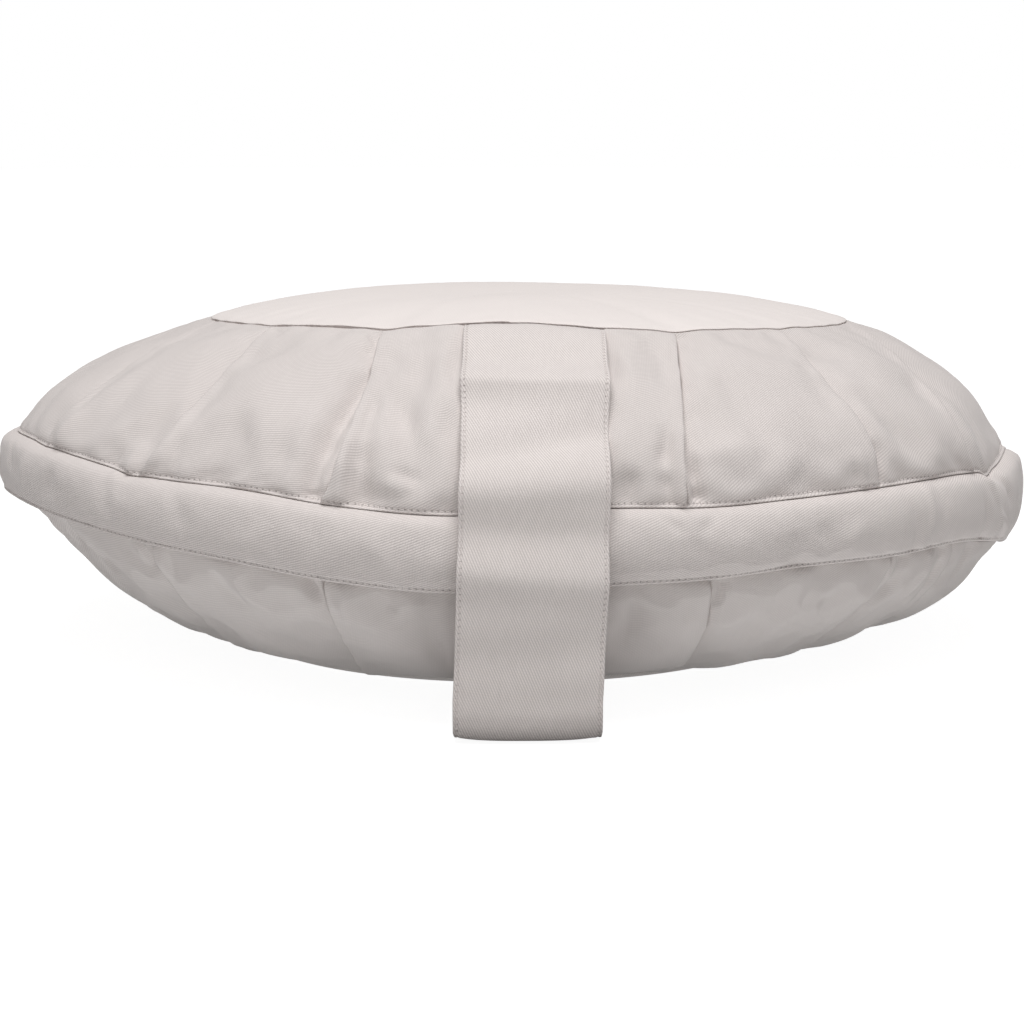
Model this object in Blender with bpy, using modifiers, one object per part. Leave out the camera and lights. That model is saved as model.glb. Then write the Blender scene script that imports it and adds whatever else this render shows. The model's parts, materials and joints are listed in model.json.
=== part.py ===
"""Round pleated meditation cushion with a side band and a carry strap.

Metres, +Z up. The origin is on the floor under the cushion's centre, and the
strap is at the front, towards -Y. Angles go round from the front, positive
towards +X.
"""
import math

import bmesh
import bpy
from mathutils import Vector

# Plan sizes
TOP_SEAM_R = 0.1123
TOP_PANEL_SHIFT = 0.006
BOTTOM_SEAM_R = 0.0963
BAND_SEAM_R = 0.1737
BAND_SWELL = 0.0063

# Heights
CROWN_Z = 0.1225
TOP_SEAM_Z = 0.1112
TOP_SEAM_FRONT_RISE = 0.0072
TOP_SEAM_LEAN = 0.0005
STRAP_PULL_RISE = 0.0022
STRAP_PULL_DEG = 14.0
CROWN_FLATNESS = 3.38

# Cloth thicknesses, and the clearance between two sewn pieces
PANEL_THICK = 0.003
BAND_THICK = 0.0028
STRAP_THICK = 0.002
SEAM_GAP = 0.0006
SEAM_SINK = 0.001
PANEL_EDGE_GAP = 0.0013
BED_LIP = 0.0006

# Upper side, as a curve in plan radius and height: how far it runs on from
# the top seam before it turns down, how steep it starts, and how upright it
# comes to the band, with the fill leaning to the right and eased at both ends
UPPER_RUN = 0.0235
UPPER_FALL_DEG = 15.6
UPPER_DROP = 0.0214
UPPER_DROP_LEAN = 0.0025
UPPER_DROP_EASE = 0.0020
UPPER_LEAN = 0.0033
UPPER_EASE = 0.0018

# Lower side: it leaves the band downwards and comes flat to the bottom seam,
# with the same lean and ease
LOWER_DROP = 0.0191
LOWER_TUCK = 0.004
LOWER_LEAN = 0.0055
LOWER_EASE = 0.0050
LOWER_RUN = 0.0368
LOWER_RUN_LEAN = 0.0015
LOWER_RISE_DEG = 7.7
LOWER_SETBACK = 0.001

# Heights of the band's seams round the cushion: angle, upper seam, lower seam
BAND_SEAMS = (
    (-135.0, 0.0735, 0.0500),
    (-90.0, 0.0742, 0.0505),
    (-68.0, 0.0776, 0.0563),
    (-53.0, 0.0762, 0.0562),
    (-40.0, 0.0735, 0.0535),
    (-28.5, 0.0727, 0.0508),
    (-18.0, 0.0694, 0.0470),
    (-6.0, 0.0674, 0.0447),
    (10.0, 0.0694, 0.0465),
    (20.0, 0.0686, 0.0470),
    (30.0, 0.0694, 0.0485),
    (43.0, 0.0700, 0.0479),
    (56.0, 0.0695, 0.0475),
    (73.0, 0.0650, 0.0405),
    (90.0, 0.0630, 0.0330),
    (135.0, 0.0650, 0.0420),
    (180.0, 0.0705, 0.0480),
)

# Pleats on the right half, mirrored on the left: angle at the top seam, at the
# band's upper seam, at its lower seam and at the bottom seam, then how strongly
# the fold stands on the upper and on the lower side
PLEATS = (
    (26.0, 18.0, 19.5, 27.0, 1.0, 0.8),
    (49.0, 41.5, 41.5, 52.0, 0.6, 0.7),
    (73.0, 58.5, 57.0, 72.0, 0.5, 0.6),
    (92.0, 80.0, 79.0, 92.0, 0.7, 0.7),
    (111.0, 102.0, 102.0, 112.0, 0.5, 0.6),
    (131.0, 124.0, 124.0, 132.0, 0.7, 0.7),
    (151.0, 146.0, 146.0, 152.0, 0.6, 0.6),
    (171.0, 168.0, 168.0, 171.0, 0.8, 0.8),
)

# Section of one pleat: distance from its fold, away from the front, and lift
PLEAT_SECTION = (
    (-0.0140, 0.30),
    (-0.0013, 1.00),
    (0.0013, -1.20),
    (0.0070, -0.50),
    (0.0160, 0.00),
)
PLEAT_LIFT = 0.0014
GORE_PUFF = 0.0010
FRONT_GAP_COLUMNS = 4

# Where the rings of the body lie along each curve
CROWN_RINGS = (0.40, 0.70, 0.88)
UPPER_RINGS = (0.0, 0.06, 0.16, 0.30, 0.45, 0.60, 0.74, 0.86, 0.95, 1.0)
BAND_BED_RINGS = (0.22, 0.50, 0.78)
LOWER_RINGS = (0.0, 0.07, 0.20, 0.35, 0.52, 0.70, 0.86, 1.0)
BAND_RINGS = (0.0, 0.06, 0.20, 0.40, 0.60, 0.80, 0.94, 1.0)
PANEL_COLUMNS = 72

# Carry strap: width, sideways place of its middle at the top, how far it drifts
# to the left by that share of its length, and the middle line of its cloth below
# the upper side, as radius and height
STRAP_WIDTH = 0.0448
STRAP_TOP_X = 0.0071
STRAP_DRIFT = 0.0024
STRAP_DRIFT_ENDS = 0.62
STRAP_CLEAR = 0.0008
STRAP_SIDE_STEPS = (0.01, 0.10, 0.22, 0.34, 0.45, 0.55)
STRAP_HANG = (
    (0.1722, 0.0862),
    (0.1768, 0.0780),
    (0.1800, 0.0685),
    (0.1826, 0.0585),
    (0.1828, 0.0490),
    (0.1822, 0.0380),
    (0.1814, 0.0270),
    (0.1807, 0.0160),
    (0.1797, 0.0078),
    (0.1764, 0.0022),
    (0.1700, 0.0010),
    (0.1500, 0.0010),
    (0.1260, 0.0010),
    (0.1010, 0.0010),
)
STRAP_SAMPLES = 46
STRAP_ACROSS = 5

CLOTH_SRGB_LINEAR = (0.60, 0.56, 0.54, 1.0)


def clear_scene():
    """Remove whatever the file starts with."""
    for thing in list(bpy.data.objects):
        bpy.data.objects.remove(thing, do_unlink=True)


def cloth_material(name, shade):
    """Matt cotton twill, a shade lighter or darker than the main cloth."""
    material = bpy.data.materials.new(name)
    material.use_nodes = True
    shader = material.node_tree.nodes["Principled BSDF"]
    red, green, blue, alpha = CLOTH_SRGB_LINEAR
    shader.inputs["Base Color"].default_value = (red * shade, green * shade, blue * shade, alpha)
    shader.inputs["Roughness"].default_value = 0.9
    shader.inputs["Metallic"].default_value = 0.0
    return material


def bezier(points, t):
    """Place and direction on a cubic curve of (radius, height) points."""
    u = 1.0 - t
    weights = (u * u * u, 3.0 * u * u * t, 3.0 * u * t * t, t * t * t)
    place = [sum(w * p[k] for w, p in zip(weights, points)) for k in (0, 1)]
    slopes = (u * u, 2.0 * u * t, t * t)
    steps = [(b[0] - a[0], b[1] - a[1]) for a, b in zip(points, points[1:])]
    heading = [sum(w * s[k] for w, s in zip(slopes, steps)) for k in (0, 1)]
    return place, heading


def around(rows, angle, column):
    """Smooth closed curve through one column of a table, at an angle."""
    count = len(rows)
    first = rows[0][0]
    angle = (angle - first) % 360.0 + first
    index = max(i for i in range(count) if rows[i][0] <= angle)

    def knot(i):
        turns, place = divmod(i, count)
        return rows[place][0] + 360.0 * turns, rows[place][column]

    (a0, v0), (a1, v1), (a2, v2), (a3, v3) = (knot(index + k) for k in (-1, 0, 1, 2))
    span = a2 - a1
    start_slope = (v2 - v0) / (a2 - a0) * span
    end_slope = (v3 - v1) / (a3 - a1) * span
    s = (angle - a1) / span
    rise = s * s * (3.0 - 2.0 * s)
    return (v1 + (v2 - v1) * rise
            + start_slope * s * (1.0 - s) ** 2
            - end_slope * s * s * (1.0 - s))


def top_seam_r(angle):
    """Radius of the top seam, whose middle sits a little to the right."""
    return TOP_SEAM_R + TOP_PANEL_SHIFT * math.sin(math.radians(angle))


def top_seam_z(angle):
    """Height of the top seam: it rises to the front, most where the strap pulls.

    It leans down to the right with the rest of the cushion.
    """
    facing = 0.5 * (1.0 + math.cos(math.radians(angle)))
    from_front = (angle + 180.0) % 360.0 - 180.0
    pull = math.exp(-(from_front / STRAP_PULL_DEG) ** 2)
    lean = TOP_SEAM_LEAN * math.sin(math.radians(angle))
    return TOP_SEAM_Z + TOP_SEAM_FRONT_RISE * facing ** 2 + STRAP_PULL_RISE * pull - lean


def crown_z(angle, share):
    """Height of the top panel's face at a share of the top seam's radius."""
    seam = top_seam_z(angle)
    dome = (CROWN_Z - TOP_SEAM_Z) * (1.0 - share ** CROWN_FLATNESS)
    level = (seam - TOP_SEAM_Z) * (1.0 - share ** 2)
    return seam + dome - level


def upper_side(angle, t):
    """Place and outward direction on the upper side, t from top seam to band."""
    fall = math.radians(UPPER_FALL_DEG)
    side = math.sin(math.radians(angle))
    start = (top_seam_r(angle), top_seam_z(angle) - SEAM_SINK)
    end = (BAND_SEAM_R, around(BAND_SEAMS, angle, 1) + SEAM_GAP)
    leaving = (start[0] + UPPER_RUN * math.cos(fall), start[1] - UPPER_RUN * math.sin(fall))
    tuck = UPPER_LEAN * side - UPPER_EASE * side ** 2
    drop = UPPER_DROP + UPPER_DROP_LEAN * side - UPPER_DROP_EASE * side ** 2
    arriving = (end[0] + tuck, end[1] + drop)
    return outward(*bezier((start, leaving, arriving, end), t))


def lower_side(angle, t):
    """Place and outward direction on the lower side, t from band to bottom seam."""
    side = math.sin(math.radians(angle))
    rise = math.radians(LOWER_RISE_DEG)
    run = LOWER_RUN + LOWER_RUN_LEAN * side
    start = (BAND_SEAM_R - LOWER_SETBACK, around(BAND_SEAMS, angle, 2) - SEAM_GAP)
    end = (BOTTOM_SEAM_R, PANEL_THICK + SEAM_GAP)
    tuck = LOWER_TUCK - LOWER_LEAN * side + LOWER_EASE * side ** 2
    leaving = (start[0] - tuck, start[1] - LOWER_DROP)
    arriving = (end[0] + run * math.cos(rise), end[1] + run * math.sin(rise))
    return outward(*bezier((start, leaving, arriving, end), t))


def outward(place, heading):
    """A place with the unit direction that points out of the cushion there."""
    length = math.hypot(*heading)
    return place, (-heading[1] / length, heading[0] / length)


def point(angle, radius, height):
    """World point at an angle from the front."""
    turn = math.radians(angle)
    return Vector((radius * math.sin(turn), -radius * math.cos(turn), height))


def mix(a, b, share):
    return a + (b - a) * share


def swell(t):
    """Rounded section of the band, 0 at its seams and 1 halfway."""
    return math.sqrt(max(0.0, 1.0 - (2.0 * t - 1.0) ** 2))


def pleat_columns():
    """Columns of the body's mesh, once round, each along a pleat or between two.

    A column is four angles (top seam, band's upper and lower seam, bottom
    seam), its lift on the upper and on the lower side, and its puff.
    """
    radii = (TOP_SEAM_R, BAND_SEAM_R, BAND_SEAM_R, BOTTOM_SEAM_R)
    pleats = [(-1.0, pleat) for pleat in reversed(PLEATS)] + [(1.0, pleat) for pleat in PLEATS]
    folds = []
    for side, pleat in pleats:
        section = PLEAT_SECTION if side > 0.0 else PLEAT_SECTION[::-1]
        fold = []
        for offset, lift in section:
            angles = [side * (pleat[k] + math.degrees(offset / radii[k])) for k in range(4)]
            fold.append((angles, lift * pleat[4], lift * pleat[5], 0.0))
        folds.append(fold)
    columns = []
    for number, fold in enumerate(folds):
        columns += fold
        following = folds[(number + 1) % len(folds)]
        wrap = 360.0 if number == len(folds) - 1 else 0.0
        fillers = FRONT_GAP_COLUMNS if number == len(PLEATS) - 1 else 1
        for k in range(1, fillers + 1):
            share = k / (fillers + 1)
            angles = [mix(a, b + wrap, share) for a, b in zip(fold[-1][0], following[0][0])]
            columns.append((angles, 0.0, 0.0, 1.0 if fillers == 1 else 0.0))
    return columns


def fold_envelope(t):
    """How far a pleat stands along its length: sewn down at both ends."""
    return 0.35 + 0.65 * math.sin(math.pi * t) ** 0.7


def body_rings():
    """Rings of the filled body, from its crown down to its base."""
    columns = pleat_columns()
    rings = []
    for share in CROWN_RINGS:
        rings.append([point(c[0][0], share * top_seam_r(c[0][0]),
                            crown_z(c[0][0], share) - PANEL_THICK - SEAM_GAP) for c in columns])
    rings.append([point(c[0][0], top_seam_r(c[0][0]) - BED_LIP,
                        top_seam_z(c[0][0]) - PANEL_THICK - SEAM_GAP) for c in columns])
    for t in UPPER_RINGS:
        ring = []
        for angles, lift, _, puff in columns:
            angle = mix(angles[0], angles[1], t)
            stand = (lift * PLEAT_LIFT + puff * GORE_PUFF) * fold_envelope(t) * (1.0 if t else 0.0)
            place, normal = upper_side(angle, t)
            ring.append(point(angle, place[0] + normal[0] * stand, place[1] + normal[1] * stand))
        rings.append(ring)
    bed = BAND_SEAM_R - BAND_THICK - SEAM_GAP
    rim = bed - SEAM_GAP
    rings.append([point(c[0][1], rim, around(BAND_SEAMS, c[0][1], 1) + SEAM_GAP) for c in columns])
    for t in BAND_BED_RINGS:
        ring = []
        for angles, _, _, _ in columns:
            angle = mix(angles[1], angles[2], t)
            height = mix(around(BAND_SEAMS, angle, 1), around(BAND_SEAMS, angle, 2), t)
            ring.append(point(angle, bed + BAND_SWELL * swell(t), height))
        rings.append(ring)
    rings.append([point(c[0][2], rim, around(BAND_SEAMS, c[0][2], 2) - SEAM_GAP) for c in columns])
    for t in LOWER_RINGS:
        ring = []
        for angles, _, lift, puff in columns:
            angle = mix(angles[2], angles[3], t)
            sewn = 0.0 if t in (0.0, 1.0) else 1.0
            stand = (lift * PLEAT_LIFT + puff * GORE_PUFF) * fold_envelope(t) * sewn
            place, normal = lower_side(angle, t)
            ring.append(point(angle, place[0] + normal[0] * stand, place[1] + normal[1] * stand))
        rings.append(ring)
    return rings


def band_rings():
    """Rings of the side band: its outer face down, then its inner face up.

    Its columns are the body's, so the clearance between the two is even.
    """
    columns = [c[0] for c in pleat_columns()]
    inner = (1.0,) + BAND_BED_RINGS[::-1] + (0.0,)
    faces = [(t, 0.0) for t in BAND_RINGS] + [(t, BAND_THICK) for t in inner]
    rings = []
    for t, depth in faces:
        ring = []
        for angles in columns:
            angle = mix(angles[1], angles[2], t)
            height = mix(around(BAND_SEAMS, angle, 1), around(BAND_SEAMS, angle, 2), t)
            ring.append(point(angle, BAND_SEAM_R + BAND_SWELL * swell(t) - depth, height))
        rings.append(ring)
    return rings


def top_panel_rings():
    """Rings of the top panel: its crowned face out, its rolled edge, its underside in."""
    angles = [360.0 * k / PANEL_COLUMNS for k in range(PANEL_COLUMNS)]
    face = [(share, 0.0, 0.0) for share in CROWN_RINGS + (0.95,)]
    roll = [(1.0, 0.0016, 0.0002), (1.0, 0.0004, 0.0010), (1.0, 0.0, 0.0020), (1.0, 0.0008, PANEL_THICK)]
    under = [(share, 0.0, PANEL_THICK) for share in reversed(CROWN_RINGS)]
    rings = []
    for share, inset, depth in face + roll + under:
        ring = []
        for angle in angles:
            seam = top_seam_r(angle)
            radius = share * seam - inset - (PANEL_EDGE_GAP if share == 1.0 else 0.0)
            ring.append(point(angle, radius, crown_z(angle, radius / seam) - depth))
        rings.append(ring)
    return rings


def loft(name, rings, poles=None):
    """Closed body through rings of equal count, from pole to pole or back round."""
    mesh = bpy.data.meshes.new(name)
    work = bmesh.new()
    rows = [[work.verts.new(place) for place in ring] for ring in rings]
    count = len(rows[0])
    spans = list(zip(rows, rows[1:]))
    if poles is None:
        spans.append((rows[-1], rows[0]))
    for upper, lower in spans:
        for k in range(count):
            work.faces.new((upper[k], lower[k], lower[(k + 1) % count], upper[(k + 1) % count]))
    if poles is not None:
        for row, place in zip((rows[0], rows[-1]), poles):
            tip = work.verts.new(place)
            for k in range(count):
                work.faces.new((tip, row[k], row[(k + 1) % count]))
    bmesh.ops.recalc_face_normals(work, faces=work.faces)
    bmesh.ops.triangulate(work, faces=work.faces)
    work.to_mesh(mesh)
    work.free()
    return bpy.data.objects.new(name, mesh)


def smooth_path(points, samples):
    """Evenly spaced points on a smooth curve through (radius, height) points."""
    fine = []
    ends = [points[0]] + list(points) + [points[-1]]
    for p0, p1, p2, p3 in zip(ends, ends[1:], ends[2:], ends[3:]):
        for step in range(12):
            s = step / 12.0
            fine.append([0.5 * (2.0 * b + (c - a) * s + (2.0 * a - 5.0 * b + 4.0 * c - d) * s * s
                                + (3.0 * b - a - 3.0 * c + d) * s ** 3)
                         for a, b, c, d in zip(p0, p1, p2, p3)])
    fine.append(list(points[-1]))
    lengths = [0.0]
    for a, b in zip(fine, fine[1:]):
        lengths.append(lengths[-1] + math.dist(a, b))
    path = []
    index = 0
    for k in range(samples):
        wanted = lengths[-1] * k / (samples - 1)
        while index < len(fine) - 2 and lengths[index + 1] < wanted:
            index += 1
        share = (wanted - lengths[index]) / (lengths[index + 1] - lengths[index])
        path.append([mix(a, b, min(1.0, share)) for a, b in zip(fine[index], fine[index + 1])])
    return path


def strap_line(x):
    """Middle of the strap's cloth at a distance x from the cushion's middle plane.

    Radius and height, from the top seam to the bottom seam.
    """
    lift = STRAP_CLEAR + STRAP_THICK / 2.0
    line = []
    for t in STRAP_SIDE_STEPS:
        radius = upper_side(0.0, t)[0][0]
        place, normal = upper_side(math.degrees(math.asin(x / radius)), t)
        line.append((place[0] + normal[0] * lift, place[1] + normal[1] * lift))
    return smooth_path(line + list(STRAP_HANG), STRAP_SAMPLES)


def make_strap():
    """The strap as an open strip that wraps the round of the cushion, given its thickness."""
    mesh = bpy.data.meshes.new("carry_strap")
    work = bmesh.new()
    rows = [[] for _ in range(STRAP_SAMPLES)]
    for k in range(STRAP_ACROSS + 1):
        offset = STRAP_WIDTH * (k / STRAP_ACROSS - 0.5)
        for number, (radius, height) in enumerate(strap_line(STRAP_TOP_X + offset)):
            share = number / (STRAP_SAMPLES - 1) / STRAP_DRIFT_ENDS
            x = STRAP_TOP_X - STRAP_DRIFT * min(1.0, share) ** 3 + offset
            rows[number].append(work.verts.new((x, -math.sqrt(radius ** 2 - x ** 2), height)))
    for upper, lower in zip(rows, rows[1:]):
        for k in range(STRAP_ACROSS):
            work.faces.new((upper[k], lower[k], lower[k + 1], upper[k + 1]))
    work.to_mesh(mesh)
    work.free()
    strap = bpy.data.objects.new("carry_strap", mesh)
    thick = strap.modifiers.new("cloth thickness", "SOLIDIFY")
    thick.thickness = STRAP_THICK
    thick.offset = 0.0
    thick.use_even_offset = True
    return strap


def make_bottom_panel():
    """Flat round panel that the cushion stands on, its edge rolled."""
    bpy.ops.mesh.primitive_cylinder_add(vertices=64, radius=BOTTOM_SEAM_R - PANEL_EDGE_GAP,
                                        depth=PANEL_THICK, location=(0.0, 0.0, PANEL_THICK / 2.0))
    panel = bpy.context.object
    panel.name = "bottom_panel"
    panel.data.name = "bottom_panel"
    roll = panel.modifiers.new("rolled edge", "BEVEL")
    roll.width = 0.0009
    roll.segments = 2
    return panel


def finish(thing, collection, material):
    """Put a piece in the collection, in its material, shaded smooth."""
    for home in list(thing.users_collection):
        home.objects.unlink(thing)
    collection.objects.link(thing)
    thing.data.materials.clear()
    thing.data.materials.append(material)
    thing.data.shade_smooth()
    thing.data.set_sharp_from_angle(angle=math.radians(50.0))


def build():
    """Make the cushion's five pieces."""
    clear_scene()
    collection = bpy.data.collections.new("meditation cushion")
    bpy.context.scene.collection.children.link(collection)
    crown = Vector((0.0, 0.0, crown_z(0.0, 0.0)))
    bed = Vector((0.0, 0.0, PANEL_THICK + SEAM_GAP))
    bed_top = crown - Vector((0.0, 0.0, PANEL_THICK + SEAM_GAP))
    underside = crown - Vector((0.0, 0.0, PANEL_THICK))
    pieces = (
        (loft("pleated_body", body_rings(), (bed_top, bed)), "side cloth", 0.95),
        (loft("top_panel", top_panel_rings(), (crown, underside)), "top cloth", 1.05),
        (make_bottom_panel(), "bottom cloth", 0.95),
        (loft("side_band", band_rings()), "band cloth", 1.0),
        (make_strap(), "strap cloth", 1.0),
    )
    for thing, name, shade in pieces:
        finish(thing, collection, cloth_material(name, shade))


build()
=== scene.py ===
"""Looks of a round pleated meditation cushion, laid out as a Blender add-on.

Metres, +Z up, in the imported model's own frame. Angles go round from the front,
where the carry strap hangs, and are positive towards +X. Down the cloth, a
share of 0 is the upper end of a piece and 1 its lower end.
"""
import json
import math
from collections import namedtuple
from functools import partialmethod

import bpy
import numpy as np
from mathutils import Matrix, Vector

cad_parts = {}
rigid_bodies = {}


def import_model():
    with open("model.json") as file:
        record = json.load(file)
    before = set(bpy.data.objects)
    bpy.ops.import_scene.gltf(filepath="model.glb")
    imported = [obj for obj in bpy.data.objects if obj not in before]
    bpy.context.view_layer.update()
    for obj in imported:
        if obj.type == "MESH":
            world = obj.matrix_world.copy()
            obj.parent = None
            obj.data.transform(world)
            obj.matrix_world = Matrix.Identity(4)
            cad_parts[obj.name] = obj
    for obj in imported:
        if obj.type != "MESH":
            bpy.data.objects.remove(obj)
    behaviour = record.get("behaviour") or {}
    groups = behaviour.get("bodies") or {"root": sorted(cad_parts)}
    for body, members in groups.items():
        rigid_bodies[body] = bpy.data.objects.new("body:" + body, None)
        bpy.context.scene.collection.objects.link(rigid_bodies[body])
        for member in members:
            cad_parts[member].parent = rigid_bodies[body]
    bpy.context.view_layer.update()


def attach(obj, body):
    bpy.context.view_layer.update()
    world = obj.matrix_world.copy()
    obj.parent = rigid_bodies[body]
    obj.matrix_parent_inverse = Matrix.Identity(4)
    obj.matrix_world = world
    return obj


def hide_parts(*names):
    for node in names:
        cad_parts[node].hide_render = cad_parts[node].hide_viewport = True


for leftover in list(bpy.data.objects):
    bpy.data.objects.remove(leftover, do_unlink=True)

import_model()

bl_info = {
    "name": "Meditation cushion maker",
    "version": (1, 0, 0),
    "blender": (4, 5, 0),
    "location": "View3D > Sidebar > Cushion",
    "description": "Sews the cover, band, panels and strap of a round pleated cushion",
    "category": "Object",
}

MM = 0.001

# Driving sizes of the sewn cushion
TOP_SEAM_R = 0.1123
TOP_PANEL_SHIFT = 0.006
BOTTOM_SEAM_R = 0.0963
BAND_SEAM_R = 0.1737
BAND_SWELL = 0.0063
CROWN_Z = 0.1225
TOP_SEAM_Z = 0.1112
TOP_SEAM_FRONT_RISE = 0.0072
TOP_SEAM_LEAN = 0.0005
STRAP_PULL_RISE = 0.0022
STRAP_PULL_DEG = 14.0
CROWN_FLATNESS = 3.38
PANEL_THICK = 0.003
BAND_THICK = 0.0028
SEAM_GAP = 0.0006
SEAM_SINK = 0.001
PANEL_EDGE_GAP = 0.0013
BED_LIP = 0.0006

# Upper and lower side as curves in plan radius and height
UPPER_RUN = 0.0235
UPPER_FALL_DEG = 15.6
UPPER_DROP = 0.0214
UPPER_DROP_LEAN = 0.0025
UPPER_DROP_EASE = 0.0020
UPPER_LEAN = 0.0033
UPPER_EASE = 0.0018
LOWER_DROP = 0.0191
LOWER_TUCK = 0.004
LOWER_LEAN = 0.0055
LOWER_EASE = 0.0050
LOWER_RUN = 0.0368
LOWER_RUN_LEAN = 0.0015
LOWER_RISE_DEG = 7.7
LOWER_SETBACK = 0.001

# The band's seams round the cushion: angle, height of its upper and lower seam
BAND_SEAMS = np.array((
    (-135.0, 0.0735, 0.0500),
    (-90.0, 0.0742, 0.0505),
    (-68.0, 0.0776, 0.0563),
    (-53.0, 0.0762, 0.0562),
    (-40.0, 0.0735, 0.0535),
    (-28.5, 0.0727, 0.0508),
    (-18.0, 0.0694, 0.0470),
    (-6.0, 0.0674, 0.0447),
    (10.0, 0.0694, 0.0465),
    (20.0, 0.0686, 0.0470),
    (30.0, 0.0694, 0.0485),
    (43.0, 0.0700, 0.0479),
    (56.0, 0.0695, 0.0475),
    (73.0, 0.0650, 0.0405),
    (90.0, 0.0630, 0.0330),
    (135.0, 0.0650, 0.0420),
    (180.0, 0.0705, 0.0480),
))

# Kinks of the band's seams: 1 for the upper and 2 for the lower one, then the angle,
# the half width and the rise in millimetres
SEAM_KINKS = (
    (1, -62.0, 2.5, -0.5),
    (1, -43.4, 2.0, -0.9),
    (1, 64.7, 1.7, -2.0),
    (1, 78.0, 8.0, 6.2),
    (2, -82.0, 15.0, 3.0),
    (2, 79.0, 5.0, 2.2),
)

# Pleats: the fold's angle at shares down the upper side and down the lower side, then
# how far it stands at shares down the upper side, and on the lower side
UPPER_STATIONS = (0.0, 0.25, 0.5, 0.75, 0.9, 1.0)
LOWER_STATIONS = (0.0, 0.5, 1.0)
STAND_STATIONS = (0.0, 0.12, 0.5, 0.8, 1.0)
Pleat = namedtuple("Pleat", "upper lower stands low_stand")
FRONT_PLEATS = (
    ((-92.0, -88.5, -85.0, -81.5, -80.0, -80.5), (-79.0, -84.0, -92.0), (0.15, 0.25, 0.25, 0.3, 0.2), 0.7),
    ((-73.0, -67.6, -62.4, -60.4, -60.8, -61.4), (-58.0, -60.5, -72.0), (0.30, 0.45, 0.50, 0.6, 0.4), 1.0),
    ((-46.9, -42.9, -40.4, -39.8, -40.5, -42.1), (-40.6, -43.4, -56.0), (0.35, 0.55, 0.60, 0.8, 0.5), 1.6),
    ((-21.7, -19.3, -18.0, -17.6, -18.2, -19.3), (-19.1, -20.5, -26.0), (0.5, 1.0, 1.0, 1.45, 0.7), 1.2),
    ((26.6, 22.8, 19.8, 17.6, 17.2, 17.4), (20.1, 22.5, 28.0), (0.6, 0.9, 1.0, 1.6, 0.5), 1.1),
    ((48.3, 44.2, 41.5, 40.8, 41.0, 41.2), (43.9, 43.4, 51.0), (0.35, 0.60, 0.65, 0.9, 0.5), 1.1),
    ((78.5, 68.5, 62.0, 58.5, 58.6, 60.4), (56.3, 59.5, 71.0), (0.35, 0.55, 0.65, 0.8, 0.5), 1.0),
    ((92.0, 88.5, 85.0, 81.5, 80.0, 80.0), (79.0, 84.0, 92.0), (0.15, 0.25, 0.25, 0.3, 0.2), 0.7),
)

# The pleats at the back are the same to the left and to the right
BACK_PLEATS = (
    ((111.0, 108.5, 106.0, 103.0, 102.0, 102.0), (102.0, 107.0, 112.0), (0.2, 0.5, 0.5, 0.5, 0.2), 0.6),
    ((131.0, 129.0, 127.0, 125.0, 124.0, 124.0), (124.0, 128.0, 132.0), (0.3, 0.6, 0.8, 0.6, 0.2), 0.7),
    ((151.0, 149.5, 148.0, 146.5, 146.0, 146.0), (146.0, 149.0, 152.0), (0.3, 0.5, 0.6, 0.5, 0.2), 0.6),
    ((171.0, 170.0, 169.2, 168.5, 168.0, 168.0), (168.0, 169.5, 171.0), (0.3, 0.6, 0.8, 0.7, 0.3), 0.8),
)
PLEATS = [Pleat(np.negative(upper), np.negative(lower), *stands)
          for upper, lower, *stands in reversed(BACK_PLEATS)]
PLEATS += [Pleat(*row) for row in FRONT_PLEATS + BACK_PLEATS]
HOMES = np.array([pleat.upper[-1] for pleat in PLEATS])

# How far the twill of each gore is turned against the band's, in degrees. A gore
# lies between its pleat and the next one round
GORE_TURNS = (4.0, -6.0, 7.0, -3.0, 5.0, -8.0, -7.0, 6.0, 8.0, 3.0, -5.0, 6.0, -4.0, 7.0, -6.0, 3.0)

# Where the top seam dips at a fold: angle, half width in degrees, depth in millimetres
SEAM_DIPS = (
    (-21.5, 3.2, 0.8),
    (26.4, 3.4, 0.8),
    (-47.0, 3.0, 0.4),
    (48.5, 3.0, 0.4),
)

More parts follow.
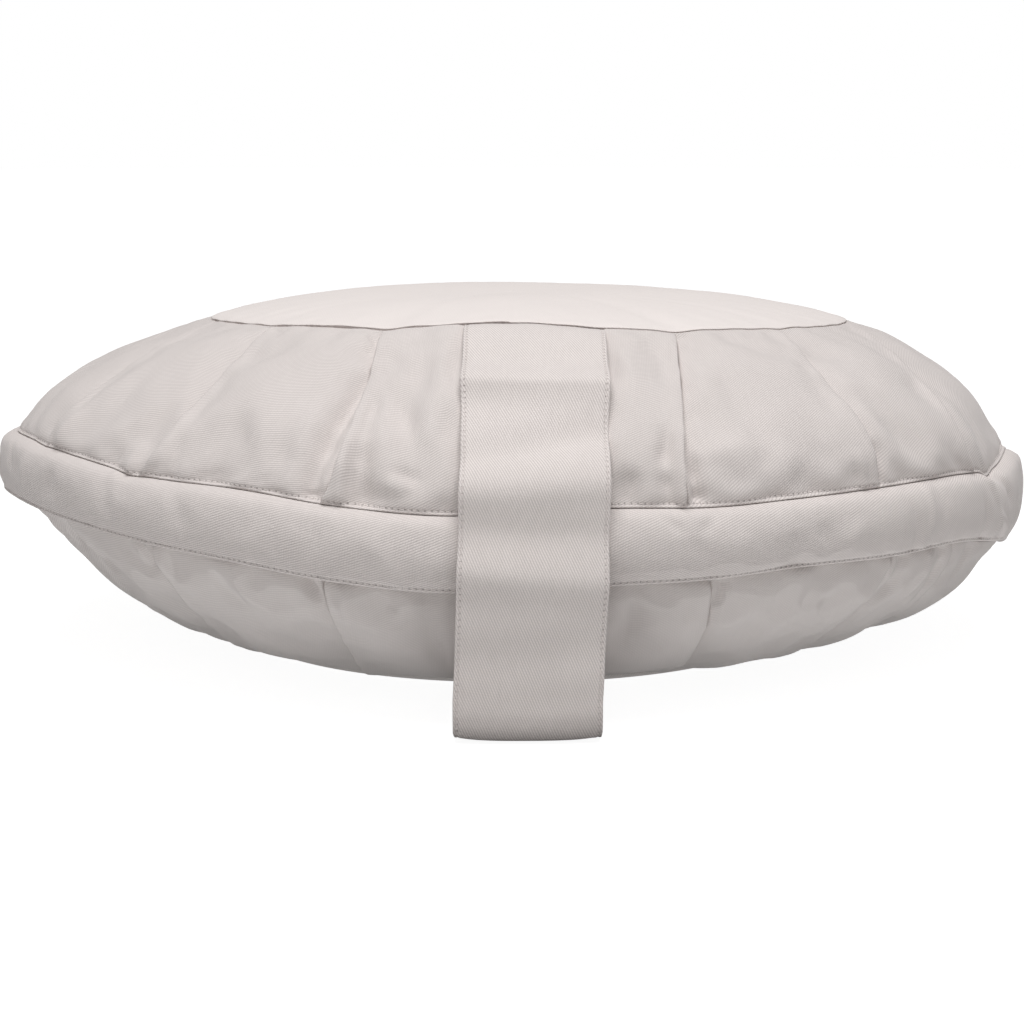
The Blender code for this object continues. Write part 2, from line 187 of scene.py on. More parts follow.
# Creases: where each starts and ends, as an angle and a share down its
# piece, then its half width and how far it lifts the cloth, in millimetres
UPPER_CREASES = (
    (-23.6, 0.06, -20.6, 0.12, 1.2, -0.55),
    (-22.4, 0.19, -20.6, 0.15, 1.1, -0.40),
    (-20.0, 0.07, -18.6, 0.26, 2.0, 0.40),
    (-16.6, 0.42, -15.6, 0.69, 2.6, -0.90),
    (-15.5, 0.69, -15.1, 0.98, 3.6, -1.50),
    (-17.2, 0.62, -17.2, 0.97, 1.6, 0.75),
    (-19.0, 0.25, -20.6, 0.96, 2.8, -1.80),
    (-22.6, 0.45, -23.4, 0.96, 2.6, 0.55),
    (-12.6, 0.84, -10.6, 0.93, 3.2, 0.95),
    (-11.8, 0.79, -9.4, 0.88, 1.9, -0.75),
    (-14.6, 0.40, -9.6, 0.76, 2.6, -0.75),
    (-12.8, 0.34, -8.6, 0.66, 3.2, 0.55),
    (-12.0, 0.07, -11.2, 0.80, 5.2, -2.00),
    (-7.9, 0.07, -7.3, 0.49, 2.4, -1.60),
    (-7.3, 0.49, -6.8, 0.72, 2.0, -0.90),
    (13.6, 0.14, 11.6, 0.50, 1.9, -1.10),
    (11.6, 0.50, 10.6, 0.72, 1.7, -0.90),
    (15.6, 0.10, 14.2, 0.55, 2.6, 0.55),
    (17.0, 0.62, 15.2, 0.83, 2.2, -0.95),
    (15.2, 0.83, 15.9, 0.99, 2.4, -0.95),
    (17.4, 0.80, 17.5, 0.95, 1.6, 0.80),
    (18.7, 0.72, 18.7, 0.96, 1.8, -1.30),
    (11.2, 0.96, 12.2, 0.82, 2.6, -0.70),
    (26.3, 0.74, 27.6, 1.0, 4.6, -1.00),
    (30.4, 0.60, 32.6, 0.97, 5.0, -0.80),
    (22.8, 0.66, 23.4, 0.90, 4.0, 0.60),
    (38.2, 0.80, 38.8, 0.98, 1.6, 0.80),
    (41.6, 0.76, 41.2, 0.96, 2.2, -0.90),
    (47.0, 0.55, 45.6, 0.98, 4.5, -0.40),
    (52.5, 0.60, 51.0, 0.98, 4.5, 0.30),
    (-24.5, 0.70, -24.0, 0.99, 3.6, -0.75),
    (-28.5, 0.55, -28.0, 0.97, 4.6, 0.65),
    (-32.5, 0.62, -32.0, 0.99, 4.0, -0.85),
    (-37.6, 0.74, -37.8, 0.99, 2.0, -0.70),
    (-43.2, 0.80, -43.6, 0.99, 1.6, 0.70),
    (-45.6, 0.72, -46.4, 0.98, 2.4, -0.80),
    (-52.0, 0.45, -52.6, 0.95, 5.0, -0.70),
    (-57.0, 0.40, -58.0, 0.95, 4.0, 0.60),
)
LOWER_CREASES = (
    (-21.4, 0.00, -20.4, 0.16, 1.7, -1.50),
    (-17.2, 0.02, -17.8, 0.34, 2.4, 0.60),
    (-43.4, 0.00, -42.6, 0.20, 1.7, -1.30),
    (-8.2, 0.00, -8.4, 0.60, 3.0, -0.90),
    (-30.0, 0.02, -29.0, 0.45, 5.0, 0.60),
    (-35.0, 0.02, -36.0, 0.40, 4.0, -0.60),
    (21.8, 0.00, 21.6, 0.20, 2.0, -1.30),
    (12.6, 0.00, 12.4, 0.50, 2.6, -0.80),
    (31.0, 0.02, 30.0, 0.50, 5.0, 0.60),
    (46.2, 0.00, 46.4, 0.30, 2.4, -1.20),
    (51.0, 0.00, 52.0, 0.35, 2.2, 0.80),
    (54.0, 0.00, 56.5, 0.40, 2.4, -1.00),
    (62.0, 0.00, 64.0, 0.30, 2.4, -0.90),
    (-60.0, 0.00, -64.0, 0.35, 2.4, -1.00),
    (-64.5, 0.00, -69.0, 0.35, 2.2, 0.60),
    (-69.0, 0.00, -74.0, 0.35, 2.2, -1.00),
)
BAND_CREASES = (
    (-14.0, 0.20, -11.0, 0.95, 4.0, 0.55),
    (-18.5, 0.10, -19.5, 0.80, 3.6, -0.60),
    (-24.0, 0.30, -27.5, 0.90, 4.4, 0.45),
    (-36.0, 0.05, -33.0, 0.75, 4.0, -0.50),
    (-46.0, 0.05, -44.5, 0.80, 3.6, -0.50),
    (-55.0, 0.10, -58.0, 0.85, 3.6, -0.55),
    (-63.0, 0.15, -64.0, 0.90, 3.0, 0.50),
    (14.5, 0.05, 17.0, 0.35, 1.7, -0.45),
    (20.5, 0.05, 18.0, 0.35, 1.7, -0.45),
    (16.5, 0.30, 20.0, 0.80, 4.0, -0.45),
    (22.0, 0.10, 23.0, 0.97, 4.6, 0.45),
    (28.0, 0.40, 29.0, 0.97, 5.0, -0.70),
    (31.5, 0.30, 33.0, 0.85, 3.4, -0.60),
    (36.5, 0.30, 35.0, 0.85, 3.6, 0.60),
    (44.0, 0.05, 46.0, 0.95, 2.0, -0.55),
    (47.5, 0.02, 47.3, 0.97, 1.2, 0.45),
    (49.6, 0.02, 49.4, 0.97, 2.0, -0.45),
    (61.0, 0.02, 63.3, 0.50, 1.3, 0.90),
    (63.3, 0.50, 70.0, 0.97, 1.4, 0.95),
    (63.6, 0.50, 65.2, 0.97, 1.1, 0.75),
    (58.4, 0.20, 61.5, 0.97, 2.4, -0.80),
    (66.0, 0.04, 69.0, 0.55, 2.2, -0.90),
    (71.0, 0.35, 73.0, 0.85, 2.2, -0.60),
    (-70.0, 0.05, -68.5, 0.60, 2.0, -0.60),
    (-76.0, 0.20, -78.0, 0.90, 3.0, 0.50),
)

# Distances from a fold, in millimetres at the band, where the cover has a column
FOLD_COLUMNS_MM = (
    -16.0, -13.0, -10.5, -8.5, -6.8, -5.3, -4.1, -3.1, -2.2, -1.5, -1.0, -0.6, -0.3, -0.08,
    0.12, 0.32, 0.55, 0.85, 1.2, 1.7, 2.4, 3.2, 4.2, 5.5, 7.0, 8.8, 11.0, 13.5, 16.0,
)
FILLER_STEP_MM = 2.6
DEGREES_A_MM = math.degrees(MM / BAND_SEAM_R)

# Columns round the band and the panels, and rows as shares
BAND_COLUMNS = 720
BAND_BACK_ROWS = (0.97, 0.8, 0.5, 0.2, 0.0)
TOP_COLUMNS = 480
TOP_ROWS = (*np.linspace(0.04, 0.9, 30), 0.925, 0.945, 0.96, 0.972, 0.981)
TOP_BACK_ROWS = (0.9, 0.6, 0.3)
BOTTOM_COLUMNS = 144

# Rows down the cover, as shares
CROWN_BED = (0.3, 0.6, 0.8, 0.92)
UPPER_ROWS = np.array((
    0.0, 0.004, 0.009, 0.016, 0.025, 0.036, 0.05, *np.linspace(0.065, 0.93, 48), 0.943, 0.955, 0.965,
    0.973, 0.979, 0.984, 0.988, 0.991, 0.994, 0.9965, 0.9985, 1.0))
BED_ROWS = (0.0, 0.2, 0.5, 0.8, 1.0)
LOWER_ROWS = np.array((0.0, 0.01, 0.025, 0.045, *np.linspace(0.07, 0.97, 38), 0.985, 1.0))

# Lapped seams: how far each turned edge stands and where its stitches run, in
# millimetres from the edge
EDGE_MIDDLE_MM = 0.5
EDGE_WIDTH_MM = 0.44
EDGE_STAND_MM = 0.22
STITCH_LINE_MM = 1.25
STITCH_GROOVE_MM = 0.24
GROOVE_WIDTH_MM = 0.3
EDGE_CUT_MM = 0.3
EDGE_CUT_WIDTH_MM = 0.14
EDGE_GAP = 0.00015
UPPER_ARC = 0.0785
LOWER_ARC = 0.092
BAND_ARC = 0.025
BAND_LOW_SWELL = 0.42
BAND_LOW_SWELL_LEAN = 0.33
BAND_END_FULLNESS = 1.2
BAND_FULL_ENDS = (84.0, 20.0)
BAND_LOW_ROUNDING = 2.2
BAND_TOP_ROUNDING = (-0.06, 0.08)

# Coarse cloth that the fill blows out, and how far it may move
FILL_COLUMNS = 288
FILL_ROWS = 22
FILL_FRAMES = 18
FILL_CAP = 0.003
FILL_EVEN = 0.9
FOLD_HOLD = 0.5
FOLD_HOLD_DEG = 0.7
FILL_CLOTH = {
    "quality": 6,
    "mass": 0.3,
    "tension_stiffness": 15.0,
    "compression_stiffness": 10.0,
    "shear_stiffness": 5.0,
    "bending_stiffness": 0.4,
    "shrink_min": -0.035,
    "use_pressure": True,
    "uniform_pressure_force": 4.0,
}

# Relief that is even all round, in millimetres
UPPER_PLEAT_MM = 1.5
LOWER_PLEAT_MM = 1.1
PLEAT_PUSH_MM = 0.7
CREVICE = 2.3
UNDER_FOLD = 0.6

# Across a fold, in millimetres: its edge, the bottom of its crevice, the cloth beneath
FOLD_MM = (-0.5, 0.4, 1.2)

# How wide a fold's crest is and how far the cloth beneath takes to rise again, which
# grows down the upper side, then where the fold pushes its edge over, in millimetres
UPPER_CREST_MM = 3.4
UPPER_RISE_MM = 2.5
UPPER_RISE_GAIN_MM = 5.0
LOWER_CREST_MM = 5.0
LOWER_RISE_MM = 4.0
PUSH_AT_MM = (-0.3, 0.9)
LOW_STAND_AT_SEAMS = 0.45

UPPER_CREASE_SCALE = 2.0
LOWER_CREASE_SCALE = 1.8
BAND_CREASE_SCALE = 1.6
SEAM_RISE_MM = 0.40
UNDERCUT_MM = 0.9
UNDERCUT_REACH_MM = 4.0
SEAM_RISE_REACH_MM = 2.0
GORE_EDGE_MM = 0.22

# Where a side is drawn in or fuller: angle and half width, share and half width, lift
# in millimetres
UPPER_PULLS = (
    (82.0, 15.0, 0.82, 0.19, -3.6),
    (-84.0, 16.0, 0.86, 0.14, -1.5),
)
LOWER_PULLS = (
    (-85.0, 28.0, 0.25, 0.13, -2.2),
    (85.0, 28.0, 0.17, 0.14, -3.2),
    (-85.0, 28.0, 0.60, 0.20, 1.2),
    (85.0, 28.0, 0.60, 0.20, 1.2),
    (40.0, 26.0, 0.72, 0.22, 1.4),
    (-20.0, 14.0, 0.80, 0.12, 1.3),
)

# Shares of a piece: how far puckers reach from its first and its last seam, and where
# relief comes in, goes out and is calmed by the floor
PUCKER_REACH = (0.09, 0.10)
BAND_PUCKER_REACH = (0.16, 0.2)
RELIEF_IN = 0.03
RELIEF_OUT = 0.978
BAND_RELIEF_IN = 0.08
BAND_RELIEF_OUT = 0.93
FLOOR_CALM = (0.95, 0.55)
LAP = 0.04

# How much calmer the cloth is at the two ends: share, and angle and half width
END_CALM = 0.65
CALM_ENDS = (78.0, 22.0)
BED_SWELL = 0.6

# Unevenness of the cloth: seed, number of waves, shortest and longest wave in metres,
# size in millimetres
RIPPLES = {
    "top seam": (17, 5, 0.012, 0.035, 0.16),
    "upper cloth": (3, 9, 0.022, 0.07, 0.35),
    "upper pucker": (11, 7, 0.006, 0.018, 0.2),
    "lower cloth": (5, 9, 0.022, 0.07, 0.35),
    "lower pucker": (13, 7, 0.006, 0.018, 0.2),
    "before filling": (41, 6, 0.012, 0.03, 0.15),
    "top panel cloth": (21, 6, 0.05, 0.11, 0.35),
    "top panel pucker": (23, 7, 0.008, 0.022, 0.14),
    "band cloth": (31, 10, 0.016, 0.06, 0.25),
    "band pucker": (33, 7, 0.005, 0.014, 0.2),
    "strap cloth": (51, 7, 0.012, 0.04, 0.18),
}

# Section of the top panel's rolled edge: inset and depth, and its gap to the side
PANEL_RIM = (
    (0.0010, 0.00003),
    (0.0005, 0.00010),
    (0.00015, 0.00022),
    (0.0, 0.00040),
    (0.0002, 0.00055),
    (0.0006, 0.00070),
    (0.0008, 0.0020),
    (0.0018, 0.003),
)
PANEL_RIM_GAP = 0.0002

# Section of the bottom panel's rolled edge: inset and share of its thickness
BOTTOM_RIM = (
    (0.0008, 1.0),
    (0.0002, 0.9),
    (0.0, 0.72),
    (0.0005, 0.45),
    (0.0016, 0.18),
    (0.0032, 0.0),
)

# Face of the band: share down it and lift in millimetres, ending in its turned edge
BAND_FACE = (
    (0.0, -0.05),
    (0.01, 0.05),
    (0.03, 0.0),
    *((t / 100.0, 0.0) for t in range(6, 90, 4)),
    (0.905, 0.0),
    (0.925, -0.03),
    (0.94, -0.10),
    (0.95, -0.16),
    (0.96, -0.06),
    (0.97, 0.22),
    (0.98, 0.34),
    (0.99, 0.22),
    (0.998, -0.10),
    (1.0, -0.5),
    (0.999, -1.2),
)

# Needle holes: the share of a stitch that they take, as the cosine they start at
HOLE_START = 0.62

# A stitch: places along it, with how far each stands off the cloth and its half
# thickness in thread thicknesses, then its range of slants and its share of the spacing
STITCH_PLACES = np.array((0.0, 0.12, 0.3, 0.5, 0.7, 0.88, 1.0))
STITCH_STANDS = np.array((-0.75, -0.1, 0.3, 0.42, 0.3, -0.1, -0.75))
STITCH_HALVES = np.array((0.30, 0.43, 0.48, 0.5, 0.48, 0.43, 0.30))
STITCH_SLANTS = (0.10, 0.30)
STITCH_SHARE = 0.86
STITCH_SIDES = 6

KEY_SIZE = 1.2
KEY_PLACE = (0.0, -0.55, 1.6)
BOUNCE_SIZE = 2.4
BOUNCE_PLACE = (0.0, -0.9, -1.3)
BOUNCE_TINT = (0.95, 1.0, 1.015)
LIGHT_AIM = (0.0, 0.0, 0.06)
WHITE = (1.0, 1.0, 1.0)

# Carry strap, as the middle line of its cloth
STRAP_WIDTH = 0.0448
STRAP_TOP_X = 0.0071
STRAP_DRIFT = 0.0024
STRAP_DRIFT_ENDS = 0.62
STRAP_THICK = 0.002
STRAP_CLEAR = 0.0008
STRAP_SIDE_STEPS = (0.01, 0.10, 0.22, 0.34, 0.45, 0.55)
STRAP_HANG = (
    (0.1724, 0.0868),
    (0.1786, 0.0792),
    (0.1812, 0.0690),
    (0.1826, 0.0585),
    (0.1828, 0.0490),
    (0.1822, 0.0380),
    (0.1814, 0.0270),
    (0.1808, 0.0160),
    (0.1804, 0.0072),
    (0.1782, 0.0018),
    (0.1700, 0.0010),
    (0.1500, 0.0010),
    (0.1260, 0.0010),
    (0.1010, 0.0010),
)
STRAP_SEAM_DIVE = 0.0025
STRAP_DIVE_SHARE = 0.15
STRAP_BED = 0.0011
STRAP_BED_MARGIN_DEG = 0.1
STRAP_BED_DRIFT = 0.2
STRAP_BED_EDGE_DEG = (-1.3, -0.2, 1.2)
STRAP_BED_WIDENS = 0.3
STRAP_EDGE_CURL = 0.0011
STRAP_CURL_HEIGHT = 0.009
STRAP_CURL_BEFORE = -0.172
STRAP_WAVES_END = 0.004
STRAP_WAVES_FADE = 0.01
STRAP_ROUND_MM = 0.9
STRAP_GROOVE_WIDTH_MM = 0.4
STRAP_ROWS = 300
STRAP_EDGE_COLUMNS = np.linspace(0.90, 1.0, 10)
STRAP_COLUMNS = np.concatenate((-STRAP_EDGE_COLUMNS[::-1], np.linspace(-0.86, 0.86, 19), STRAP_EDGE_COLUMNS))

# Waves down the strap: height, half length, lift in millimetres and slant
STRAP_WAVES = (
    (0.1034, 0.0042, 3.20, 0.02),
    (0.1026, 0.0012, 0.50, 0.02),
    (0.0890, 0.0050, -2.90, -0.15),
    (0.0765, 0.0050, 1.20, -0.05),
    (0.0640, 0.0052, -1.00, 0.05),
    (0.0500, 0.0064, 2.00, 0.08),
    (0.0280, 0.0070, -0.40, -0.06),
)

# Floor and room. The plane under the strap keeps light off the strap's fold
FLOOR = {"vertices": 96, "radius": 6.0, "fill_type": "NGON", "location": (0.0, 0.0, -0.0004)}
CARD = {**FLOOR, "location": (0.0, 0.0, -0.002)}
DOME = {"segments": 64, "ring_count": 32, "radius": 7.0}
STRAP_FLOOR = {"size": 1.0, "location": (STRAP_TOP_X - STRAP_DRIFT, -0.176, -0.001)}
STRAP_FLOOR_SIZE = (0.07, 0.026, 1.0)


def smooth(knots, values, at):
    """Cubic through values at knots, its slopes taken from the knots beside each span."""
    i = np.clip(np.searchsorted(knots, at, side="right") - 1, 1, len(knots) - 3)
    span = knots[i + 1] - knots[i]
    slope_a = (values[i + 1] - values[i - 1]) / (knots[i + 1] - knots[i - 1]) * span
    slope_b = (values[i + 2] - values[i]) / (knots[i + 2] - knots[i]) * span
    s = (at - knots[i]) / span
    rise = s * s * (3.0 - 2.0 * s)
    return (values[i] + (values[i + 1] - values[i]) * rise
            + slope_a * s * (1.0 - s) ** 2 - slope_b * s * s * (1.0 - s))


def along(stations, values, share):
    """Smooth curve through values at stations from 0 to 1."""
    knots, values = (np.array((2.0 * a[0] - a[1], *a, 2.0 * a[-1] - a[-2])) for a in (stations, values))
    return smooth(knots, values, np.clip(np.asarray(share, float), 0.0, 1.0))


def step(edge_a, edge_b, value):
    """0 before edge_a, 1 after edge_b, smooth between."""
    s = np.clip((value - edge_a) / (edge_b - edge_a), 0.0, 1.0)
    return s * s * (3.0 - 2.0 * s)


def bump(value, middle, width):
    """A soft hump of height 1."""
    return np.exp(-((value - middle) / width) ** 2)


def mix(a, b, share):
    return a + (b - a) * share


def turned(angle):
    """An angle brought between -180 and 180."""
    return (np.asarray(angle, float) + 180.0) % 360.0 - 180.0


def near(angle, middle, width):
    """A soft hump of height 1 round an angle."""
    return bump(turned(angle - middle), 0.0, width)


def near_seams(t, first, last):
    """1 at both ends of a piece, dying away over a share of it from each."""
    return math.exp(-t / first) + math.exp((t - 1.0) / last)


def around(column, angle, kinked=True):
    """Height of a band seam at any angle: a smooth closed curve through the table."""
    knots, values = BAND_SEAMS[:, 0], BAND_SEAMS[:, column]
    knots = np.concatenate((knots[-1:] - 360.0, knots, knots[:2] + 360.0))
    values = np.concatenate((values[-1:], values, values[:2]))
    height = smooth(knots, values, (np.asarray(angle, float) - knots[1]) % 360.0 + knots[1])
    for seam, middle, width, rise in SEAM_KINKS:
        if kinked and seam == column:
            height = height + rise * MM * near(angle, middle, width)
    return height


def ripple(name, u, v):
    """Soft uneven ripples over a surface in metres, from a few crossed waves."""
    seed, waves, low, high, size = RIPPLES[name]
    dice = np.random.default_rng(seed)
    total = 0.0
    for _ in range(waves):
        length = dice.uniform(low, high)
        heading = dice.uniform(0.0, 2.0 * math.pi)
        phase = dice.uniform(0.0, 2.0 * math.pi)
        way = u * math.cos(heading) + v * math.sin(heading)
        total = total + np.sin(2.0 * math.pi * way / length + phase)
    return total / math.sqrt(waves) * size * MM


def top_seam_r(angle):
    """Radius of the top seam, whose middle sits a little to the right."""
    return TOP_SEAM_R + TOP_PANEL_SHIFT * np.sin(np.radians(angle))


def top_seam_z(angle):
    """Height of the top seam, highest where the strap pulls it up."""
    facing = 0.5 * (1.0 + np.cos(np.radians(angle)))
    pull = STRAP_PULL_RISE * near(angle, 0.0, STRAP_PULL_DEG)
    lean = TOP_SEAM_LEAN * np.sin(np.radians(angle))
    dip = sum(depth * near(angle, middle, width) for middle, width, depth in SEAM_DIPS) * MM
    wave = ripple("top seam", np.radians(angle) * TOP_SEAM_R, 0.0 * angle)
    return TOP_SEAM_Z + TOP_SEAM_FRONT_RISE * facing ** 2 + pull - lean + wave - dip


def crown_z(angle, share):
    """Height of the top panel's face at a share of the top seam's radius."""
    seam = top_seam_z(angle)
    dome = (CROWN_Z - TOP_SEAM_Z) * (1.0 - share ** CROWN_FLATNESS)
    level = (seam - TOP_SEAM_Z) * (1.0 - share ** 2)
    return seam + dome - level


def bezier(p0, p1, p2, p3, t):
    """Radius, height and outward direction on a cubic curve of (radius, height) points."""
    u = 1.0 - t
    spot = [u * u * u * a + 3.0 * u * u * t * b + 3.0 * u * t * t * c + t * t * t * d
            for a, b, c, d in zip(p0, p1, p2, p3)]
    heading = [u * u * (b - a) + 2.0 * u * t * (c - b) + t * t * (d - c)
               for a, b, c, d in zip(p0, p1, p2, p3)]
    length = np.hypot(*heading)
    return spot[0], spot[1], -heading[1] / length, heading[0] / length


def upper_side(angle, t):
    """Radius, height and outward direction on the upper side."""
    fall = math.radians(UPPER_FALL_DEG)
    side = np.sin(np.radians(angle))
    start = (top_seam_r(angle), top_seam_z(angle) - SEAM_SINK)
    end = (BAND_SEAM_R + 0.0 * side, around(1, angle) + SEAM_GAP)
    leaving = (start[0] + UPPER_RUN * math.cos(fall), start[1] - UPPER_RUN * math.sin(fall))
    tuck = UPPER_LEAN * side - UPPER_EASE * side ** 2
    drop = UPPER_DROP + UPPER_DROP_LEAN * side - UPPER_DROP_EASE * side ** 2
    above = around(1, angle, kinked=False) + SEAM_GAP + drop
    return bezier(start, leaving, (end[0] + tuck, above), end, t)


def lower_side(angle, t):
    """Radius, height and outward direction on the lower side."""
    rise = math.radians(LOWER_RISE_DEG)
    side = np.sin(np.radians(angle))
    run = LOWER_RUN + LOWER_RUN_LEAN * side
    start = (BAND_SEAM_R - LOWER_SETBACK + 0.0 * side, around(2, angle) - SEAM_GAP)
    end = (BOTTOM_SEAM_R + 0.0 * side, PANEL_THICK + SEAM_GAP + 0.0 * side)
    tuck = LOWER_TUCK - LOWER_LEAN * side + LOWER_EASE * side ** 2
    arriving = (end[0] + run * math.cos(rise), end[1] + run * math.sin(rise))
    return bezier(start, (start[0] - tuck, start[1] - LOWER_DROP), arriving, end, t)


def swell(angle, t):
    """Rounded section of the band: 1 halfway, 0 at its upper seam and a little proud below."""
    power = 2.0 + BAND_END_FULLNESS * bump(np.abs(turned(angle)), *BAND_FULL_ENDS)
    round_part = np.clip(1.0 - np.abs(2.0 * t - 1.0) ** power, 0.0, 1.0) ** (1.0 / power)
    low = BAND_LOW_SWELL - BAND_LOW_SWELL_LEAN * np.sin(np.radians(angle))
    low_part = mix(1.0, low, np.clip(2.0 * t - 1.0, 0.0, 1.0) ** BAND_LOW_ROUNDING)
    return np.where(t < 0.5, round_part * step(*BAND_TOP_ROUNDING, t), low_part)


def cylinder(angle, radius, height):
    """World points from angle, radius and height."""
    turn = np.radians(angle)
    return np.stack((radius * np.sin(turn), -radius * np.cos(turn), height + 0.0 * turn), axis=-1)


def new_piece(name, vertices, faces):
    """A smooth mesh object, linked to the scene."""
    mesh = bpy.data.meshes.new(name)
    mesh.from_pydata(vertices.reshape(-1, 3).tolist(), [], faces)
    mesh.shade_smooth()
    mesh.update()
    piece = bpy.data.objects.new(name, mesh)
    bpy.context.scene.collection.objects.link(piece)
    return piece


def grid_mesh(name, points, cloth=None, seam=None, closed_down=False, caps=False):
    """A mesh from a grid of points, rows down the cloth and columns round it.

    cloth and seam are pairs of grids, for the corners at the left and at the right
    of each column of faces. cloth says how far a corner lies across and down the
    cloth in metres. seam counts stitches along it, and says how far off they run.
    """
    rows, columns = points.shape[:2]
    vertices = points.reshape(-1, 3)
    j, i = (grid.ravel() for grid in np.meshgrid(np.arange(columns), np.arange(rows - (not closed_down))))
    j_next, row, row_next = (j + 1) % columns, i * columns, (i + 1) % rows * columns
    faces = np.stack((row + j, row_next + j, row_next + j_next, row + j_next), 1).tolist()
    if caps:
        rim = np.arange(columns)
        rim_next, last_row, middle = (rim + 1) % columns, (rows - 1) * columns, 0 * rim + len(vertices)
        faces += np.stack((middle, rim, rim_next), 1).tolist()
        faces += np.stack((middle + 1, last_row + rim_next, last_row + rim), 1).tolist()
        vertices = np.vstack((vertices, points[0].mean(0), points[-1].mean(0)))
    piece = new_piece(name, vertices, faces)
    for layer_name, pair in (("cloth", cloth), ("seam", seam)):
        if pair is None:
            continue
        left, right = pair
        corners = [np.stack((left[i, j], left[i + 1, j], right[i + 1, j], right[i, j]), 1)]
        if caps:
            corners.append(np.stack((left[0], left[0], right[0]), 1))
            corners.append(np.stack((left[-1], right[-1], left[-1]), 1))
        flat = np.concatenate([corner.reshape(-1, 2) for corner in corners])
        layer = piece.data.attributes.new(layer_name, "FLOAT_VECTOR", "CORNER")
        layer.data.foreach_set("vector", np.pad(flat, ((0, 0), (0, 1))).astype(np.float32).ravel())
    return piece


def pair_of(across, down):
    """Left and right corner grids from one grid that has a column more than the faces."""
    both = np.stack(np.broadcast_arrays(across, down), axis=-1)
    return both[:, :-1], both[:, 1:]


def running_length(points):
    """Mean distance down a grid of points, row by row."""
    steps = np.linalg.norm(np.diff(points, axis=0), axis=2).mean(1)
    return np.concatenate(([0.0], np.cumsum(steps)))


def angle_of(points):
    """Angle round from the front of each point, growing along the last grid axis."""
    return np.degrees(np.unwrap(np.arctan2(points[..., 0], -points[..., 1]), axis=-1))


def place(piece, material, slot, *nodes):
    """Give a piece its material, the body it rides on and the nodes it stands for; its slot is not used."""
    piece.data.materials.append(material)
    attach(piece, "root")
    if nodes:
        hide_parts(*nodes)


class Wire:
    """A value in a material. Arithmetic on it adds Math nodes."""

    def __init__(self, nodes, socket):
        self.nodes = nodes
        self.socket = socket

    def math(self, operation, *others):
        return self.nodes.make("ShaderNodeMath", {"operation": operation}, (self, *others))

    __add__ = __radd__ = partialmethod(math, "ADD")
    __sub__ = partialmethod(math, "SUBTRACT")
    __mul__ = __rmul__ = partialmethod(math, "MULTIPLY")
    __truediv__ = partialmethod(math, "DIVIDE")
    sine = partialmethod(math, "SINE")
    cosine = partialmethod(math, "COSINE")
    size = partialmethod(math, "ABSOLUTE")

    def __rsub__(self, other):
        return self.nodes.make("ShaderNodeMath", {"operation": "SUBTRACT"}, (other, self))

    def clamped(self):
        return self.nodes.make("ShaderNodeClamp", {}, (self,))

    def ramp(self, low, high):
        """0 below low and 1 above high, with soft ends."""
        settings = {"interpolation_type": "SMOOTHSTEP"}
        return self.nodes.make("ShaderNodeMapRange", settings, (self, low, high, 0.0, 1.0))


class Nodes:
    """A new material's node tree, with one way to add any node to it."""

    def __init__(self, name):
        self.material = bpy.data.materials.new(name)
        self.material.use_nodes = True
        self.tree = self.material.node_tree

    def make(self, kind, settings, values, output=0):
        """Add a node of any kind: its settings first, then values or links for its sockets."""
        node = self.tree.nodes.new(kind)
        for key, value in settings.items():
            setattr(node, key, value)
        for key, value in values.items() if isinstance(values, dict) else enumerate(values):
            self.join(node.inputs[key], value)
        return Wire(self, node.outputs[output])

    def join(self, socket, value):
        if isinstance(value, Wire):
            self.tree.links.new(value.socket, socket)
        else:
            socket.default_value = value

    def parts(self, vector):
        """The first two numbers of a vector."""
        node = self.tree.nodes.new("ShaderNodeSeparateXYZ")
        self.join(node.inputs[0], vector)
        return Wire(self, node.outputs[0]), Wire(self, node.outputs[1])

    def attribute(self, name):
        """A vector stored at the mesh's corners."""
        return self.make("ShaderNodeAttribute", {"attribute_name": name}, {}, output=1)

    def noise(self, vector, scale, detail=2.0, roughness=0.5):
        return self.make("ShaderNodeTexNoise", {}, {
            "Vector": vector, "Scale": scale, "Detail": detail, "Roughness": roughness})

    def blend(self, share, a, b):
        """Two colours mixed."""
        return self.make("ShaderNodeMix", {"data_type": "RGBA"}, {0: share, 6: a, 7: b}, output=2)

    def relief(self, height, depth, strength=1.0):
        return self.make("ShaderNodeBump", {}, {
            "Strength": strength, "Distance": depth, "Height": height})

    def finish(self, values):
        """Set or link the shader's sockets, and give the material."""
        for name, value in values.items():
            self.join(self.tree.nodes["Principled BSDF"].inputs[name], value)
        return self.material


class ClothSettings(bpy.types.PropertyGroup):
    """Colour and weave of the cotton twill."""

    colour: bpy.props.FloatVectorProperty(
        name="Colour", description="Colour of the cloth in even light", subtype="COLOR",
        size=3, min=0.0, max=1.0, default=(0.748, 0.692, 0.668))
    rib: bpy.props.FloatProperty(
        name="Rib spacing", description="Distance from one diagonal rib of the twill to the next",
        default=0.00076, unit="LENGTH", precision=5)
    relief: bpy.props.FloatProperty(
        name="Rib relief", description="Height of a rib", default=0.00005, unit="LENGTH", precision=6)
    sheen: bpy.props.FloatProperty(
        name="Sheen", description="Strength of the soft fibre sheen", default=0.15, min=0.0, max=1.0)
    stitch: bpy.props.FloatProperty(
        name="Stitch length", description="Distance from one stitch to the next",
        default=0.002, unit="LENGTH", precision=4)
    thread: bpy.props.FloatProperty(
        name="Thread", description="Thickness of the sewing thread",
        default=0.0003, unit="LENGTH", precision=5)


